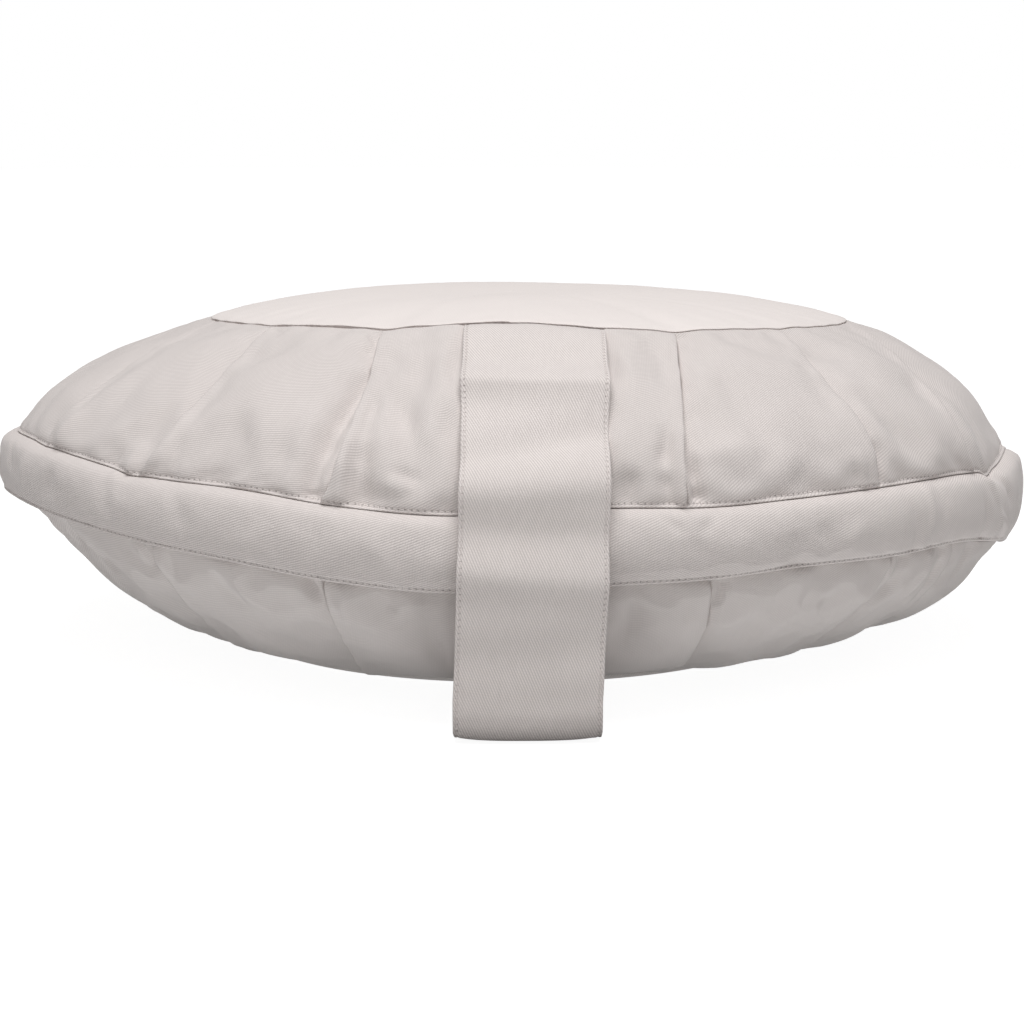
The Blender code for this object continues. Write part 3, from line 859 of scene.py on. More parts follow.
class StudioSettings(bpy.types.PropertyGroup):
    """Camera and light."""

    distance: bpy.props.FloatProperty(
        name="Camera distance", description="From the cushion's middle to the camera",
        default=1.0, unit="LENGTH")
    height: bpy.props.FloatProperty(
        name="Camera height", description="Above the floor", default=0.193, unit="LENGTH")
    tilt: bpy.props.FloatProperty(
        name="Camera tilt", description="Down from level", default=0.149, unit="ROTATION")
    lens: bpy.props.FloatProperty(
        name="Focal length", description="In millimetres on a 36 mm sensor", default=99.14)
    key_power: bpy.props.FloatProperty(
        name="Overhead light", description="Power of the large overhead light in watts", default=24.0)
    bounce_power: bpy.props.FloatProperty(
        name="Floor bounce", description="Power of the light thrown back up by the floor, in watts",
        default=10.0)
    sky: bpy.props.FloatProperty(
        name="Room light", description="Strength of the light from the white room", default=0.30)


def tinted(colour, *shares):
    """A colour scaled channel by channel."""
    return (*(min(1.0, channel * share) for channel, share in zip(colour, shares)), 1.0)


def twill(name, settings, shade=1.0, rib_degrees=24.0, relief=1.0, contrast=0.16, sewn=True):
    """Matt cotton twill: diagonal ribs broken into short floats, slubs, and needle holes darkened with
    painted shade.
    """
    nodes = Nodes(name)
    cloth = nodes.attribute("cloth")
    across, down = nodes.parts(cloth)
    c, s = math.cos(math.radians(rib_degrees)), math.sin(math.radians(rib_degrees))
    square = across * s + down * c
    run = across * c - down * s
    wander = nodes.noise(cloth, 260.0, detail=1.0) - 0.5
    rib = (square * (2.0 * math.pi / settings.rib) + wander * 1.4).sine()
    stagger = square * (0.5 / settings.rib)
    floats = ((run / (settings.rib * 1.25) + stagger) * (2.0 * math.pi)).sine()
    thread = (rib * 0.5 + 0.5).ramp(0.12, 0.78) * (0.84 + floats * 0.16)
    stretched = nodes.make("ShaderNodeCombineXYZ", {}, (across * 900.0, down * 120.0, 0.0))
    slub = nodes.noise(stretched, 1.0)
    cloud = nodes.noise(cloth, 42.0, detail=3.0, roughness=0.6)
    # shade scales the cloth colour for one piece: the sides and the panels set it to paint light or shade on
    # their copies of the one cloth
    colour = [channel * shade for channel in settings.colour]
    dark = tinted(colour, 1.0 - 2.0 * contrast, 1.0 - 2.1 * contrast, 1.0 - 2.1 * contrast)
    tone = (thread * 0.74 + slub * 0.20 + cloud * 0.22).clamped()
    face = nodes.blend(tone, dark, tinted(colour, 1.05, 1.05, 1.05))
    height = thread + slub * 0.35
    if sewn:
        stitches, off = nodes.parts(nodes.attribute("seam"))
        near_hole = (stitches * (2.0 * math.pi)).cosine().ramp(HOLE_START, 1.0)
        hole = near_hole * (1.0 - off.size().ramp(0.4 * settings.thread, 1.5 * settings.thread))
        # Painted shade: the dimples of the needle holes are coloured darker, on top of the dent their bump
        # gives
        face = nodes.blend(hole * 0.5, face, tinted(colour, 0.42, 0.40, 0.40))
        height = height - hole * 4.0
    return nodes.finish({
        "Base Color": face, "Roughness": (thread * -0.06 + 0.90 + cloud * 0.05).clamped(),
        "Normal": nodes.relief(height, settings.relief * relief),
        "Sheen Weight": settings.sheen, "Sheen Roughness": 0.6, "Specular IOR Level": 0.25})


def sewing_thread(settings):
    """Spun thread, a touch paler than the cloth, with the fuzz of its two plies."""
    nodes = Nodes("sewing thread")
    fuzz = nodes.noise(nodes.make("ShaderNodeTexCoord", {}, {}, output="Object"), 4200.0)
    dark, pale = tinted(settings.colour, 0.80, 0.79, 0.79), tinted(settings.colour, 1.04, 1.04, 1.04)
    return nodes.finish({
        "Base Color": nodes.blend(fuzz.ramp(0.25, 0.65), dark, pale),
        "Roughness": (0.72 + fuzz * 0.2).clamped(), "Sheen Weight": settings.sheen,
        "Normal": nodes.relief(fuzz, 0.00004, strength=0.7)})


Side = namedtuple("Side", "name curve stations rows arc creases crease_scale pulls")
UPPER = Side("upper", upper_side, UPPER_STATIONS, UPPER_ROWS, UPPER_ARC, UPPER_CREASES,
             UPPER_CREASE_SCALE, UPPER_PULLS)
LOWER = Side("lower", lower_side, LOWER_STATIONS, LOWER_ROWS, LOWER_ARC, LOWER_CREASES,
             LOWER_CREASE_SCALE, LOWER_PULLS)


def fold_angles(side, t):
    """Angle of each pleat's fold at a share down a side."""
    return [along(side.stations, getattr(pleat, side.name), t) for pleat in PLEATS]


def cover_columns():
    """Angles of the cover's columns at the band's upper seam, closer together near each fold."""
    angles = []
    for home, following in zip(HOMES, np.append(HOMES[1:], HOMES[0] + 360.0)):
        away = math.copysign(DEGREES_A_MM, home)
        angles += [home + offset for offset in sorted(away * mm for mm in FOLD_COLUMNS_MM)]
        away = math.copysign(DEGREES_A_MM, turned(following))
        gap = following + min(away * mm for mm in FOLD_COLUMNS_MM) - angles[-1]
        fillers = max(1, round(gap / DEGREES_A_MM / FILLER_STEP_MM) - 1)
        angles += [angles[-1] + gap * k / (fillers + 1) for k in range(1, fillers + 1)]
    return np.array(angles)


def gore_of(base):
    """Number of the gore that each column of faces belongs to."""
    middle = 0.5 * (base + np.append(base[1:], base[0] + 360.0))
    edges = HOMES + np.copysign(GORE_EDGE_MM * DEGREES_A_MM, HOMES)
    return (np.searchsorted(edges, turned(middle)) - 1) % len(HOMES)


def follow_folds(side, base, t):
    """Angles of the columns at a share down a side, so that each keeps to its fold."""
    shift = np.array(fold_angles(side, t)) - HOMES
    home = np.concatenate((HOMES[-1:] - 360.0, HOMES, HOMES[:1] + 360.0))
    shift = np.concatenate((shift[-1:], shift, shift[:1]))
    at = turned(base)
    i = np.clip(np.searchsorted(home, at, side="right") - 1, 0, len(home) - 2)
    return base + mix(shift[i], shift[i + 1], step(home[i], home[i + 1], at))


def knife(distance, recovery, crest_width):
    """Section of a knife pleat, of unit size, from the folded cloth over to the cloth under it."""
    crest = bump(distance, FOLD_MM[0], crest_width)
    edge = mix(1.0, -CREVICE, step(FOLD_MM[0], FOLD_MM[1], distance))
    wall = mix(-CREVICE, -UNDER_FOLD, step(FOLD_MM[1], FOLD_MM[2], distance))
    under = -UNDER_FOLD * np.exp(-np.clip(distance - FOLD_MM[2], 0.0, None) / recovery)
    return np.select([distance < end for end in FOLD_MM], [crest, edge, wall], under)


def pleat_relief(side, angle, radius, t):
    """How far the pleats lift the cloth, and push it over their valleys, in metres."""
    lift, push = np.zeros_like(angle), np.zeros_like(angle)
    for pleat, home, fold in zip(PLEATS, HOMES, fold_angles(side, t)):
        away = math.copysign(1.0, home)
        distance = np.radians(turned(angle - fold)) * radius * away / MM
        if side is UPPER:
            stand = along(STAND_STATIONS, pleat.stands, t)
            section = knife(distance, UPPER_RISE_MM + UPPER_RISE_GAIN_MM * t, UPPER_CREST_MM)
            lift += section * stand * UPPER_PLEAT_MM
        else:
            stand = pleat.low_stand * mix(LOW_STAND_AT_SEAMS, 1.0, math.sin(math.pi * t) ** 0.8)
            lift += knife(distance, LOWER_RISE_MM, LOWER_CREST_MM) * stand * LOWER_PLEAT_MM
        push += away * bump(distance, *PUSH_AT_MM) * stand * PLEAT_PUSH_MM
    return lift * MM, push * MM


def crease_lift(creases, angle, t, radius, arc):
    """Soft troughs and ridges from a table of creases, in metres."""
    lift = np.zeros_like(angle)
    for angle_a, share_a, angle_b, share_b, width, height in creases:
        x = np.radians(turned(angle - angle_a)) * radius / MM
        y = (t - share_a) * arc / MM
        run_x = math.radians(angle_b - angle_a) * radius / MM
        run_y = (share_b - share_a) * arc / MM
        share = np.clip((x * run_x + y * run_y) / (run_x ** 2 + run_y ** 2), 0.0, 1.0)
        gap = np.hypot(x - share * run_x, y - share * run_y)
        if 0.05 < share_a < 0.95:
            height = height * step(-0.05, 0.45, share)
        if 0.05 < share_b < 0.95:
            height = height * step(1.05, 0.55, share)
        lift += height * bump(gap, 0.0, width)
    return lift * MM


def blow_out(side):
    """Lift of one side once the fill has blown its cloth out, as a coarse grid in metres.

    The strip is pinned at its seams, held back a little at its folds, and cut a
    little too large, so it puckers along the seams as gathered cloth does.
    """
    base = np.linspace(-180.0, 180.0, FILL_COLUMNS, endpoint=False)
    rows, outward, held = [], [], []
    for t in np.linspace(0.0, 1.0, FILL_ROWS):
        angle = follow_folds(side, base, t)
        radius, height, out, up = side.curve(angle, t)
        start = ripple("before filling", np.radians(base) * BAND_SEAM_R, t * UPPER_ARC)
        rows.append(cylinder(angle, radius + out * start, height + up * start))
        outward.append(cylinder(angle, out, up))
        fold_gap = np.min([np.abs(turned(angle - fold)) for fold in fold_angles(side, t)], axis=0)
        at_fold = np.where(fold_gap < FOLD_HOLD_DEG, FOLD_HOLD, 0.0)
        held.append(at_fold if 0.0 < t < 1.0 else np.ones_like(angle))
    start = np.array(rows)
    piece = grid_mesh("blown side", start)
    group = piece.vertex_groups.new(name="held")
    for number, weight in enumerate(np.array(held).ravel().tolist()):
        if weight > 0.0:
            group.add([number], weight, "REPLACE")
    cloth = piece.modifiers.new("Cloth", "CLOTH")
    for key, value in FILL_CLOTH.items():
        setattr(cloth.settings, key, value)
    cloth.settings.vertex_group_mass = group.name
    cloth.settings.effector_weights.gravity = 0.0
    cloth.collision_settings.use_collision = False
    cloth.point_cache.frame_start = 1
    cloth.point_cache.frame_end = FILL_FRAMES
    scene = bpy.context.scene
    for number in range(1, FILL_FRAMES + 1):
        scene.frame_set(number)
    settled = piece.evaluated_get(bpy.context.evaluated_depsgraph_get()).to_mesh()
    places = np.empty(len(settled.vertices) * 3)
    settled.vertices.foreach_get("co", places)
    scene.frame_set(1)
    bpy.data.objects.remove(piece, do_unlink=True)
    lift = ((places.reshape(start.shape) - start) * np.array(outward)).sum(axis=2)
    lift -= FILL_EVEN * lift.mean(axis=1, keepdims=True)
    return FILL_CAP * np.tanh(lift / FILL_CAP)


def spline_weights(s):
    """Weights of the four grid values round a place, for a smooth reading."""
    return ((1.0 - s) ** 3 / 6.0, (3.0 * s ** 3 - 6.0 * s ** 2 + 4.0) / 6.0,
            (-3.0 * s ** 3 + 3.0 * s ** 2 + 3.0 * s + 1.0) / 6.0, s ** 3 / 6.0)


def read_grid(grid, base, t):
    """Smooth reading of a blown-out grid at the columns' angles and a share down the side."""
    rows, columns = grid.shape
    u = (base + 180.0) / 360.0 * columns
    v = t * (rows - 1)
    j = np.floor(u).astype(int)
    i = min(int(v), rows - 2)
    total = np.zeros_like(base)
    for down, weight_down in zip(range(i - 1, i + 3), spline_weights(v - i)):
        row = grid[min(max(down, 0), rows - 1)]
        for across, weight_across in zip(range(-1, 3), spline_weights(u - j)):
            total += weight_down * weight_across * row[(j + across) % columns]
    return total


def strap_bed(angle, radius, t):
    """How far the upper side is pressed in under the strap, in metres."""
    x = STRAP_TOP_X - STRAP_DRIFT * STRAP_BED_DRIFT
    half = np.degrees((STRAP_WIDTH / 2.0) / radius) + STRAP_BED_MARGIN_DEG
    away = np.abs(turned(angle) - np.degrees(x / radius))
    depth = mix(STRAP_SEAM_DIVE, STRAP_BED, step(0.0, STRAP_DIVE_SHARE, t))
    inner, narrow, wide = (half + degrees for degrees in STRAP_BED_EDGE_DEG)
    outer = mix(narrow, wide, step(0.0, STRAP_BED_WIDENS, t))
    return depth * (1.0 - step(inner, outer, away))


def turned_edge(t):
    """Lift of the upper side's turned edge and of the groove its stitches pull in."""
    edge = (1.0 - t) * UPPER_ARC / MM
    ridge = EDGE_STAND_MM * bump(edge, EDGE_MIDDLE_MM, EDGE_WIDTH_MM)
    groove = STITCH_GROOVE_MM * bump(edge, STITCH_LINE_MM, GROOVE_WIDTH_MM)
    return (ridge - groove - EDGE_CUT_MM * bump(edge, 0.0, EDGE_CUT_WIDTH_MM)) * MM


def side_rows(side, base, blown):
    """Points down one side of the cover, with its pleats, creases, puckers and blown-out cloth."""
    arc = np.radians(base) * BAND_SEAM_R
    points = []
    for t in side.rows:
        angle = follow_folds(side, base, t)
        radius, height, out, up = side.curve(angle, t)
        lift, push = pleat_relief(side, angle, radius, t)
        lift += crease_lift(side.creases, angle, t, radius, side.arc) * side.crease_scale
        lift += ripple(side.name + " cloth", arc, t * side.arc) * math.sin(math.pi * t)
        lift += ripple(side.name + " pucker", arc, t * side.arc) * near_seams(t, *PUCKER_REACH)
        if blown is not None:
            calm = 1.0 - END_CALM * bump(np.abs(turned(angle)), *CALM_ENDS)
            near_floor = 1.0 if side is UPPER else step(*FLOOR_CALM, t)
            lift += read_grid(blown, base, t) * calm * near_floor
        for middle, width, share, half_share, mm in side.pulls:
            lift += near(angle, middle, width) * bump(t, share, half_share) * mm * MM
        lift *= step(0.0, RELIEF_IN, t)
        down = t * side.arc / MM
        if side is UPPER:
            lift = lift * step(1.0, RELIEF_OUT, t) + turned_edge(t) - strap_bed(angle, radius, t)
            lift += SEAM_RISE_MM * MM * math.exp(-down / SEAM_RISE_REACH_MM)
            height = height - (SEAM_GAP - EDGE_GAP) * step(1.0 - LAP, 1.0, t)
        else:
            lift -= UNDERCUT_MM * MM * math.exp(-down / UNDERCUT_REACH_MM)
            height = height + (SEAM_GAP - EDGE_GAP) * step(LAP, 0.0, t)
        angle = angle + np.degrees(push * step(0.0, RELIEF_IN, t) / radius)
        points.append(cylinder(angle, radius + out * lift, height + up * lift))
    return points


def make_cover(settings):
    """The filled cover: crown bed, upper side, band bed, lower side and base, closed.

    Gives its stitched row with a row on either side, and the first face of the lower side.
    """
    base = cover_columns()
    seam = follow_folds(UPPER, base, 0.0)
    under = PANEL_THICK + SEAM_GAP
    rows = [cylinder(seam, share * top_seam_r(seam), crown_z(seam, share) - under) for share in CROWN_BED]
    rows.append(cylinder(seam, top_seam_r(seam) - BED_LIP, top_seam_z(seam) - under))
    first_upper = len(rows)
    rows += side_rows(UPPER, base, blow_out(UPPER))
    bed = BAND_SEAM_R - BAND_THICK - SEAM_GAP
    for t in BED_ROWS:
        angle = mix(follow_folds(UPPER, base, 1.0), follow_folds(LOWER, base, 0.0), t)
        height = mix(around(1, angle) + SEAM_GAP, around(2, angle) - SEAM_GAP, t)
        inner = bed - SEAM_GAP if t in (0.0, 1.0) else bed + BAND_SWELL * BED_SWELL
        rows.append(cylinder(angle, inner, height))
    first_lower = len(rows)
    rows += side_rows(LOWER, base, blow_out(LOWER))
    points = np.array(rows)
    off = np.ones(len(points))
    off[first_upper:first_upper + len(UPPER_ROWS)] = (1.0 - UPPER_ROWS) * UPPER_ARC - STITCH_LINE_MM * MM
    stitched = int(np.argmin(np.abs(off)))
    seam = seam_counts(points, off, settings)
    piece = grid_mesh("cushion_cover", points, cover_weave(base, points), seam, caps=True)
    return piece, points[stitched - 1:stitched + 2], first_lower * len(base)


def cover_weave(base, points):
    """Where the cloth of each gore lies across and down it, each gore turned its own way."""
    gore = gore_of(base)
    folds = [fold_angles(UPPER, 0.0)] * (len(CROWN_BED) + 1)
    folds += [fold_angles(UPPER, t) for t in (*UPPER_ROWS, *(1.0 for _ in BED_ROWS))]
    folds = np.array(folds + [fold_angles(LOWER, t) for t in LOWER_ROWS])
    ahead = np.concatenate((folds[:, 1:], folds[:, :1] + 360.0), axis=1)
    middle = (0.5 * (folds + ahead))[:, gore]
    angle = angle_of(points)
    radius = np.hypot(points[..., 0], points[..., 1])
    down = running_length(points)[:, None]
    turn = np.radians(np.array(GORE_TURNS))[gore]
    corners = []
    for side in (0, -1):
        across = np.radians(turned(np.roll(angle, side, axis=1) - middle)) * np.roll(radius, side, axis=1)
        corners.append(np.stack((across * np.cos(turn) - down * np.sin(turn) + gore,
                                 across * np.sin(turn) + down * np.cos(turn)), axis=-1))
    return corners


def stitch_count(settings):
    """Stitches in one round of the band."""
    return round(2.0 * math.pi * BAND_SEAM_R / settings.stitch)


def seam_counts(points, off, settings):
    """Stitch count round from the front, and distance off the stitch line, for corners."""
    angle = angle_of(points)
    angle = np.concatenate((angle, angle[:, :1] + 360.0), axis=1)
    return pair_of(angle / 360.0 * stitch_count(settings), off[:, None])


def sew(name, path, outward, count, settings, slot):
    """A row of stitches along a path of points: short rounded lengths of thread, ends sunk in."""
    sides = STITCH_SIDES
    sunk = STITCH_STANDS * settings.thread
    thick = STITCH_HALVES * settings.thread
    slant = np.random.default_rng(count).uniform(*STITCH_SLANTS, count)[:, None] * settings.thread
    at = (np.arange(count)[:, None] + 0.5 + STITCH_SHARE * (STITCH_PLACES - 0.5)) / count
    steps = np.linspace(0.0, 1.0, len(path))
    spine, up = (np.stack([np.interp(at, steps, values[:, k]) for k in range(3)], axis=-1)
                 for values in (path, outward))
    up /= np.linalg.norm(up, axis=-1, keepdims=True)
    heading = np.gradient(spine, axis=1)
    heading /= np.linalg.norm(heading, axis=-1, keepdims=True)
    aside = np.cross(heading, up)
    spine = spine + up * sunk[None, :, None] + aside * (slant * (STITCH_PLACES - 0.5) * 2.0)[:, :, None]
    turn = np.linspace(0.0, 2.0 * math.pi, sides, endpoint=False)[:, None]
    ring = np.cos(turn) * up[:, :, None, :] + np.sin(turn) * aside[:, :, None, :]
    points = spine[:, :, None, :] + ring * thick[None, :, None, None]
    k, n = np.arange(sides), np.roll(np.arange(sides), -1)
    size = len(STITCH_PLACES) * sides
    first = np.arange(0, size - sides, sides)[:, None]
    faces = np.stack((first + k, first + n, first + sides + n, first + sides + k), -1).reshape(-1, 4).tolist()
    faces += [list(reversed(range(sides))), list(range(size - sides, size))]
    faces = [[start + corner for corner in face] for start in range(0, count * size, size) for face in faces]
    place(new_piece(name, points, faces), sewing_thread(settings), slot)


def sew_round(name, three_rows, settings, slot):
    """Stitches round a mesh row that has a row on either side of it."""
    before, line, after = three_rows
    outward = np.cross(np.roll(line, -1, axis=0) - np.roll(line, 1, axis=0), before - after)
    count = stitch_count(settings)
    angle = angle_of(line)
    knots = np.append(angle, angle[0] + 360.0)
    wanted = (np.linspace(0.0, 360.0, 8 * count + 1) - angle[0]) % 360.0 + angle[0]
    path, facing = (
        np.stack([np.interp(wanted, knots, np.append(values[:, k], values[0, k])) for k in range(3)], 1)
        for values in (line, outward))
    sew(name, path, facing, count, settings, slot)


def round_panel(name, rows):
    """A closed round panel from its rows, with its weave straight across it."""
    points = np.array(rows)
    flat = np.concatenate((points, points[:, :1]), axis=1)
    return grid_mesh(name, points, pair_of(flat[..., 0], flat[..., 1]), caps=True)


def make_top_panel():
    """The crowned round panel: its face, its rolled edge and its underside."""
    angles = np.linspace(0.0, 360.0, TOP_COLUMNS, endpoint=False)
    seam = top_seam_r(angles)
    x, y = np.sin(np.radians(angles)), np.cos(np.radians(angles))
    rows = []
    for share in TOP_ROWS:
        uneven = ripple("top panel cloth", share * seam * x, share * seam * y) * (1.0 - share ** 4)
        pucker = ripple("top panel pucker", np.radians(angles) * seam, share * seam) * step(0.75, 0.97, share)
        rows.append(cylinder(angles, share * seam, crown_z(angles, share) + uneven + pucker))
    for inset, depth in PANEL_RIM:
        radius = seam - PANEL_RIM_GAP - inset
        rows.append(cylinder(angles, radius, crown_z(angles, radius / seam) - depth))
    for share in TOP_BACK_ROWS:
        rows.append(cylinder(angles, share * seam, crown_z(angles, share) - PANEL_THICK))
    return round_panel("top_panel_cloth", rows)


def make_bottom_panel():
    """The flat round panel that the cushion stands on."""
    angles = np.linspace(0.0, 360.0, BOTTOM_COLUMNS, endpoint=False)
    rim = BOTTOM_SEAM_R - PANEL_EDGE_GAP
    profile = [(share * rim, PANEL_THICK) for share in (0.1, 0.5, 0.9)]
    profile += [(rim - inset, share * PANEL_THICK) for inset, share in BOTTOM_RIM]
    profile += [(share * rim, 0.0) for share in (0.95, 0.7, 0.4, 0.1)]
    return round_panel("bottom_panel_cloth", [cylinder(angles, *at) for at in profile])


def make_band(settings):
    """The band round the widest part: its outer face, turned lower edge and inner face."""
    angles = np.linspace(-180.0, 180.0, BAND_COLUMNS, endpoint=False)
    arc = np.radians(angles) * BAND_SEAM_R
    upper, lower = around(1, angles), around(2, angles)
    outer = BAND_SEAM_R + BAND_SWELL
    rows = []
    for t, lift in BAND_FACE:
        relief = crease_lift(BAND_CREASES, angles, t, outer, BAND_ARC) * BAND_CREASE_SCALE
        relief += ripple("band cloth", arc, t * BAND_ARC) * math.sin(math.pi * t)
        relief += ripple("band pucker", arc, t * BAND_ARC) * near_seams(t, *BAND_PUCKER_REACH)
        relief *= step(0.0, BAND_RELIEF_IN, t) * step(1.0, BAND_RELIEF_OUT, t)
        radius = BAND_SEAM_R + BAND_SWELL * swell(angles, min(t, 1.0)) + lift * MM + relief
        rows.append(cylinder(angles, radius, mix(upper, lower, t)))
    for t in BAND_BACK_ROWS:
        radius = BAND_SEAM_R - BAND_THICK + BAND_SWELL * BED_SWELL * math.sin(math.pi * t)
        rows.append(cylinder(angles, radius, mix(upper, lower, t)))
    points = np.array(rows)
    closed = np.concatenate((points, points[:1]))
    down = running_length(closed)
    off = np.ones(len(down))
    off[:len(BAND_FACE)] = [(1.0 - t) * BAND_ARC - STITCH_LINE_MM * MM for t, _ in BAND_FACE]
    stitched = int(np.argmin(np.abs(off)))
    weave = pair_of(np.radians(np.append(angles, 180.0)) * outer, down[:, None])
    seam = seam_counts(closed, off, settings)
    piece = grid_mesh("band_cloth", points, weave, seam, closed_down=True)
    return piece, points[stitched - 1:stitched + 2]


def smooth_path(points):
    """Evenly spaced points on a smooth curve through (radius, height) points."""
    points = np.array(points)
    ends = np.vstack((points[:1], points, points[-1:]))
    s = np.linspace(0.0, 1.0, 12, endpoint=False)[:, None]
    fine = [0.5 * (2.0 * b + (c - a) * s + (2.0 * a - 5.0 * b + 4.0 * c - d) * s * s
                   + (3.0 * b - a - 3.0 * c + d) * s ** 3)
            for a, b, c, d in zip(ends, ends[1:], ends[2:], ends[3:])]
    fine = np.vstack(fine + [points[-1:]])
    lengths = np.concatenate(([0.0], np.cumsum(np.linalg.norm(np.diff(fine, axis=0), axis=1))))
    wanted = np.linspace(0.0, lengths[-1], STRAP_ROWS)
    return np.stack([np.interp(wanted, lengths, fine[:, k]) for k in (0, 1)], axis=1)


def strap_line(x):
    """Middle line of the strap's cloth at a distance x from the middle plane."""
    line = []
    for t in STRAP_SIDE_STEPS:
        radius = upper_side(np.array(0.0), t)[0]
        r, z, out, up = upper_side(np.degrees(np.arcsin(x / radius)), t)
        lift = STRAP_CLEAR + STRAP_THICK / 2.0 - STRAP_SEAM_DIVE * (1.0 - step(0.0, STRAP_DIVE_SHARE, t))
        line.append((float(r + out * lift), float(z + up * lift)))
    return smooth_path(line + list(STRAP_HANG))


def make_strap(settings):
    """The carry strap: two faces with rounded, topstitched edges, waved as it hangs.

    Gives its length, and the path and outward directions of each row of stitches.
    """
    half = STRAP_WIDTH / 2.0
    across = STRAP_COLUMNS * half
    share = np.linspace(0.0, 1.0, STRAP_ROWS) / STRAP_DRIFT_ENDS
    drift = STRAP_TOP_X - STRAP_DRIFT * np.minimum(1.0, share) ** 3
    middle = []
    for offset in across:
        line = strap_line(STRAP_TOP_X + offset)
        x = drift + offset
        middle.append(np.stack((x, -np.sqrt(line[:, 0] ** 2 - x ** 2), line[:, 1]), axis=1))
    middle = np.array(middle).transpose(1, 0, 2)
    normal = np.cross(np.gradient(middle, axis=1), np.gradient(middle, axis=0))
    normal /= np.linalg.norm(normal, axis=2, keepdims=True)
    normal *= np.where(normal[:, :, 1:2].mean() > 0.0, -1.0, 1.0)
    height = middle[:, :, 2]
    wave = sum(lift * bump(height + slant * across, at, half_length)
               for at, half_length, lift, slant in STRAP_WAVES) * MM
    wave = (wave + ripple("strap cloth", across, height)) * np.clip(
        (height - STRAP_WAVES_END) / STRAP_WAVES_FADE, 0.0, 1.0)
    at_floor = bump(height, 0.0, STRAP_CURL_HEIGHT) * (middle[:, :, 1] < STRAP_CURL_BEFORE)
    curl = STRAP_EDGE_CURL * (np.abs(across) / half) ** 4 * at_floor
    middle = middle + normal * wave[:, :, None]
    middle[:, :, 2] += curl
    edge = (half - np.abs(across)) / MM
    roundness = np.sqrt(np.clip(1.0 - (1.0 - np.clip(edge / STRAP_ROUND_MM, 0.0, 1.0)) ** 2, 0.0, 1.0))
    groove = bump(edge, STITCH_LINE_MM, STRAP_GROOVE_WIDTH_MM) * STITCH_GROOVE_MM * MM
    thick = STRAP_THICK / 2.0 * roundness - groove
    front = middle + normal * thick[None, :, None]
    back = middle - normal * thick[None, :, None]
    ring = np.concatenate((front, back[:, -2:0:-1]), axis=1)
    lengths = running_length(middle)
    side = np.concatenate((across, across[-2:0:-1], across[:1]))
    off = half - np.abs(side) - STITCH_LINE_MM * MM
    seam = pair_of(lengths[:, None] / settings.stitch, off)
    piece = grid_mesh("strap_cloth", ring, pair_of(side, lengths[:, None]), seam, caps=True)
    left = int(np.argmin(np.abs(edge[:len(edge) // 2] - STITCH_LINE_MM)))
    edges = [(front[:, column], normal[:, column]) for column in (left, len(edge) - 1 - left)]
    return piece, float(lengths[-1]), edges


class CUSHION_OT_cover(bpy.types.Operator):
    """Sew and fill the pleated cover"""

    bl_idname = "cushion.cover"
    bl_label = "Pleated cover"

    def execute(self, context):
        settings = context.scene.cushion_cloth
        piece, stitched, first_lower = make_cover(settings)
        # Painted shade: the upper side's copy of the cloth is set a little darker than the band's
        cloth = twill("upper side cloth", settings, shade=0.95, relief=0.9, contrast=0.14)
        place(piece, cloth, "side_cloth", "pleated_body")
        # Painted shade: the lower side faces down, and its copy of the cloth is set darker
        cloth = twill("lower side cloth", settings, shade=0.89, relief=0.4, contrast=0.07)
        piece.data.materials.append(cloth)
        below = np.arange(len(piece.data.polygons)) >= first_lower
        piece.data.polygons.foreach_set("material_index", below.astype(np.int32))
        sew_round("upper_seam_stitches", stitched, settings, "side_cloth")
        return {"FINISHED"}


class CUSHION_OT_panels(bpy.types.Operator):
    """Cut the two round panels"""

    bl_idname = "cushion.panels"
    bl_label = "Top and bottom panel"

    def execute(self, context):
        settings = context.scene.cushion_cloth
        # Painted light: the top panel's copy of the cloth is set paler for the brightly lit crown, and the
        # bottom panel's paler still against the shade under the overhanging lower side
        for node, piece, radius, shade, relief in (
                ("top_panel", make_top_panel(), TOP_SEAM_R, 1.05, 0.5),
                ("bottom_panel", make_bottom_panel(), BOTTOM_SEAM_R, 1.08, 0.3)):
            name = node.replace("_", " ") + " cloth"
            cloth = twill(name, settings, shade=shade, relief=relief, contrast=0.05, sewn=False)
            place(piece, cloth, "panel_cloth", node)
        return {"FINISHED"}


class CUSHION_OT_band(bpy.types.Operator):
    """Sew the band round the widest part"""

    bl_idname = "cushion.band"
    bl_label = "Side band"

    def execute(self, context):
        settings = context.scene.cushion_cloth
        piece, stitched = make_band(settings)
        place(piece, twill("band cloth", settings), "band_cloth", "side_band")
        sew_round("lower_seam_stitches", stitched, settings, "band_cloth")
        return {"FINISHED"}


class CUSHION_OT_strap(bpy.types.Operator):
    """Cut and hang the carry strap"""

    bl_idname = "cushion.strap"
    bl_label = "Carry strap"

    def execute(self, context):
        settings = context.scene.cushion_cloth
        piece, length, edges = make_strap(settings)
        cloth = twill("strap cloth", settings, shade=1.02, rib_degrees=-65.0)
        place(piece, cloth, "strap_cloth", "carry_strap")
        for side, (path, outward) in zip(("left", "right"), edges):
            count = round(length / settings.stitch)
            sew("strap_stitches_" + side, path, outward, count, settings, "strap_cloth")
        return {"FINISHED"}


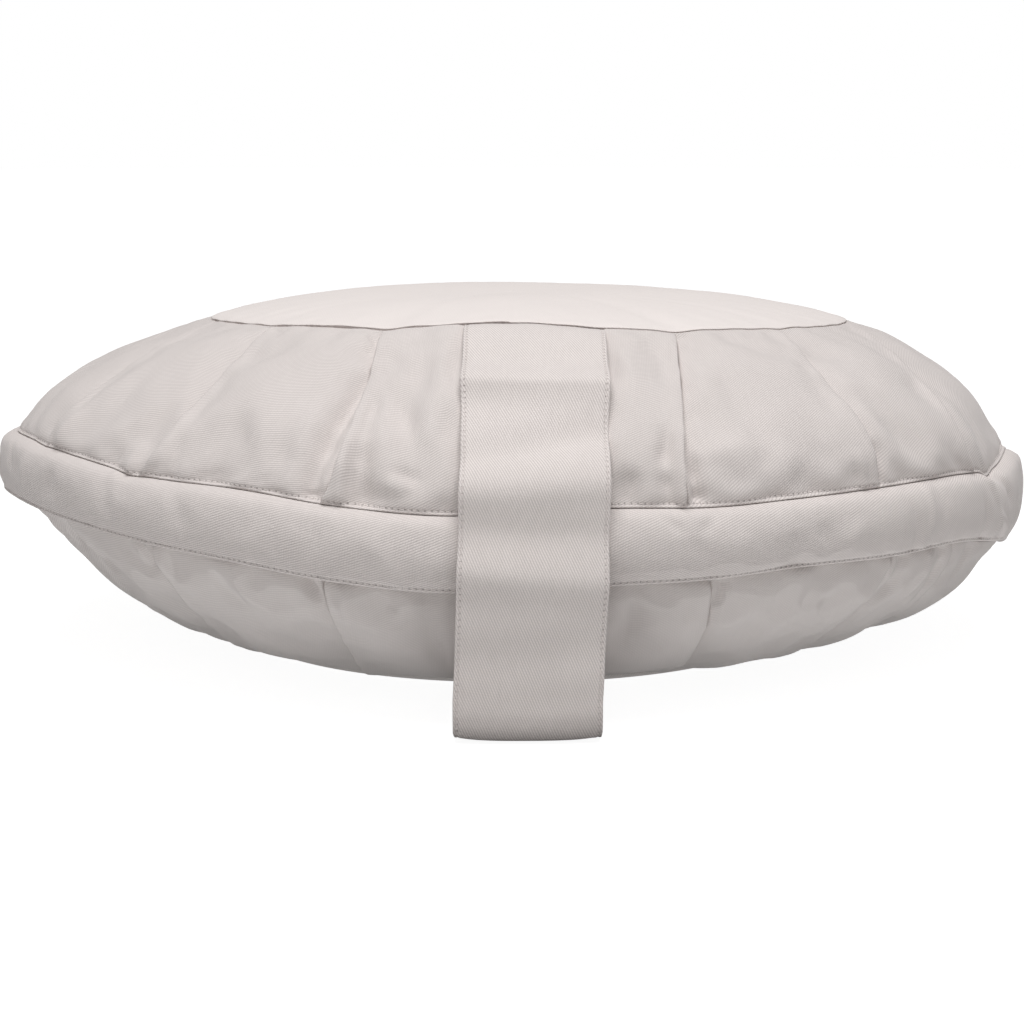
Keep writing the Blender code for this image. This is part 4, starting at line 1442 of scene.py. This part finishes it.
class CUSHION_OT_studio(bpy.types.Operator):
    """Set up the camera, the floor and the soft light"""

    bl_idname = "cushion.studio"
    bl_label = "Studio"

    def execute(self, context):
        settings = context.scene.cushion_studio
        scene = context.scene
        camera = bpy.data.objects.new("camera", bpy.data.cameras.new("camera"))
        scene.collection.objects.link(camera)
        camera.location = (0.0, -settings.distance, settings.height)
        camera.rotation_euler = (math.pi / 2.0 - settings.tilt, 0.0, 0.0)
        camera.data.lens = settings.lens
        camera.data.sensor_width = 36.0
        scene.camera = camera
        self.add_floor()
        self.add_light(scene, "overhead light", KEY_PLACE, KEY_SIZE, settings.key_power, WHITE)
        self.add_light(scene, "floor bounce", BOUNCE_PLACE, BOUNCE_SIZE, settings.bounce_power, BOUNCE_TINT)
        scene.world = bpy.data.worlds.new("white room")
        scene.world.use_nodes = True
        back = scene.world.node_tree.nodes["Background"]
        back.inputs["Color"].default_value = (*WHITE, 1.0)
        back.inputs["Strength"].default_value = settings.sky
        scene.view_settings.view_transform = "Standard"
        return {"FINISHED"}

    def add_light(self, scene, name, spot, size, power, tint):
        """A round soft light that faces the cushion."""
        light = bpy.data.objects.new(name, bpy.data.lights.new(name, "AREA"))
        light.data.shape = "DISK"
        light.data.size = size
        light.data.energy = power
        light.data.color = tint
        light.location = spot
        light.rotation_euler = (Vector(LIGHT_AIM) - Vector(spot)).to_track_quat("-Z", "Y").to_euler()
        scene.collection.objects.link(light)

    def add_floor(self):
        """A white floor and dome for the camera, and duller cards that throw light back up."""
        primitives = bpy.ops.mesh
        for name, make, sizes, shade, glow in (
                ("floor", primitives.primitive_circle_add, FLOOR, 0.25, 0.93),
                ("bounce card", primitives.primitive_circle_add, CARD, 0.66, 0.0),
                ("dome", primitives.primitive_uv_sphere_add, DOME, 0.0, 1.0),
                ("floor under the strap", primitives.primitive_plane_add, STRAP_FLOOR, 0.3, 0.0)):
            make(**sizes)
            thing = bpy.context.object
            thing.name = name
            thing.data.materials.append(Nodes(name).finish({
                "Base Color": (shade, shade, shade, 1.0), "Roughness": 1.0, "Specular IOR Level": 0.0,
                "Emission Color": (*WHITE, 1.0), "Emission Strength": glow}))
            thing.visible_camera = glow > 0.0
            thing.visible_diffuse = glow == 0.0
            thing.visible_glossy = glow == 0.0
            thing.visible_shadow = False
        thing.scale = STRAP_FLOOR_SIZE
        thing.visible_shadow = True


class CUSHION_PT_maker(bpy.types.Panel):
    """Lists the pieces in sewing order"""

    bl_label = "Meditation cushion"
    bl_space_type = "VIEW_3D"
    bl_region_type = "UI"
    bl_category = "Cushion"

    def draw(self, context):
        for group in (context.scene.cushion_cloth, context.scene.cushion_studio):
            for name in group.__annotations__:
                self.layout.prop(group, name)
        for operator in STEPS:
            self.layout.operator(operator.bl_idname)


STEPS = (CUSHION_OT_studio, CUSHION_OT_cover, CUSHION_OT_panels, CUSHION_OT_band, CUSHION_OT_strap)
CLASSES = (ClothSettings, StudioSettings) + STEPS + (CUSHION_PT_maker,)


def register():
    for item in CLASSES:
        bpy.utils.register_class(item)
    bpy.types.Scene.cushion_cloth = bpy.props.PointerProperty(type=ClothSettings)
    bpy.types.Scene.cushion_studio = bpy.props.PointerProperty(type=StudioSettings)


def unregister():
    del bpy.types.Scene.cushion_studio
    del bpy.types.Scene.cushion_cloth
    for item in reversed(CLASSES):
        bpy.utils.unregister_class(item)


def main():
    register()
    bpy.ops.cushion.studio()
    bpy.ops.cushion.cover()
    bpy.ops.cushion.panels()
    bpy.ops.cushion.band()
    bpy.ops.cushion.strap()


if __name__ == "__main__":
    main()
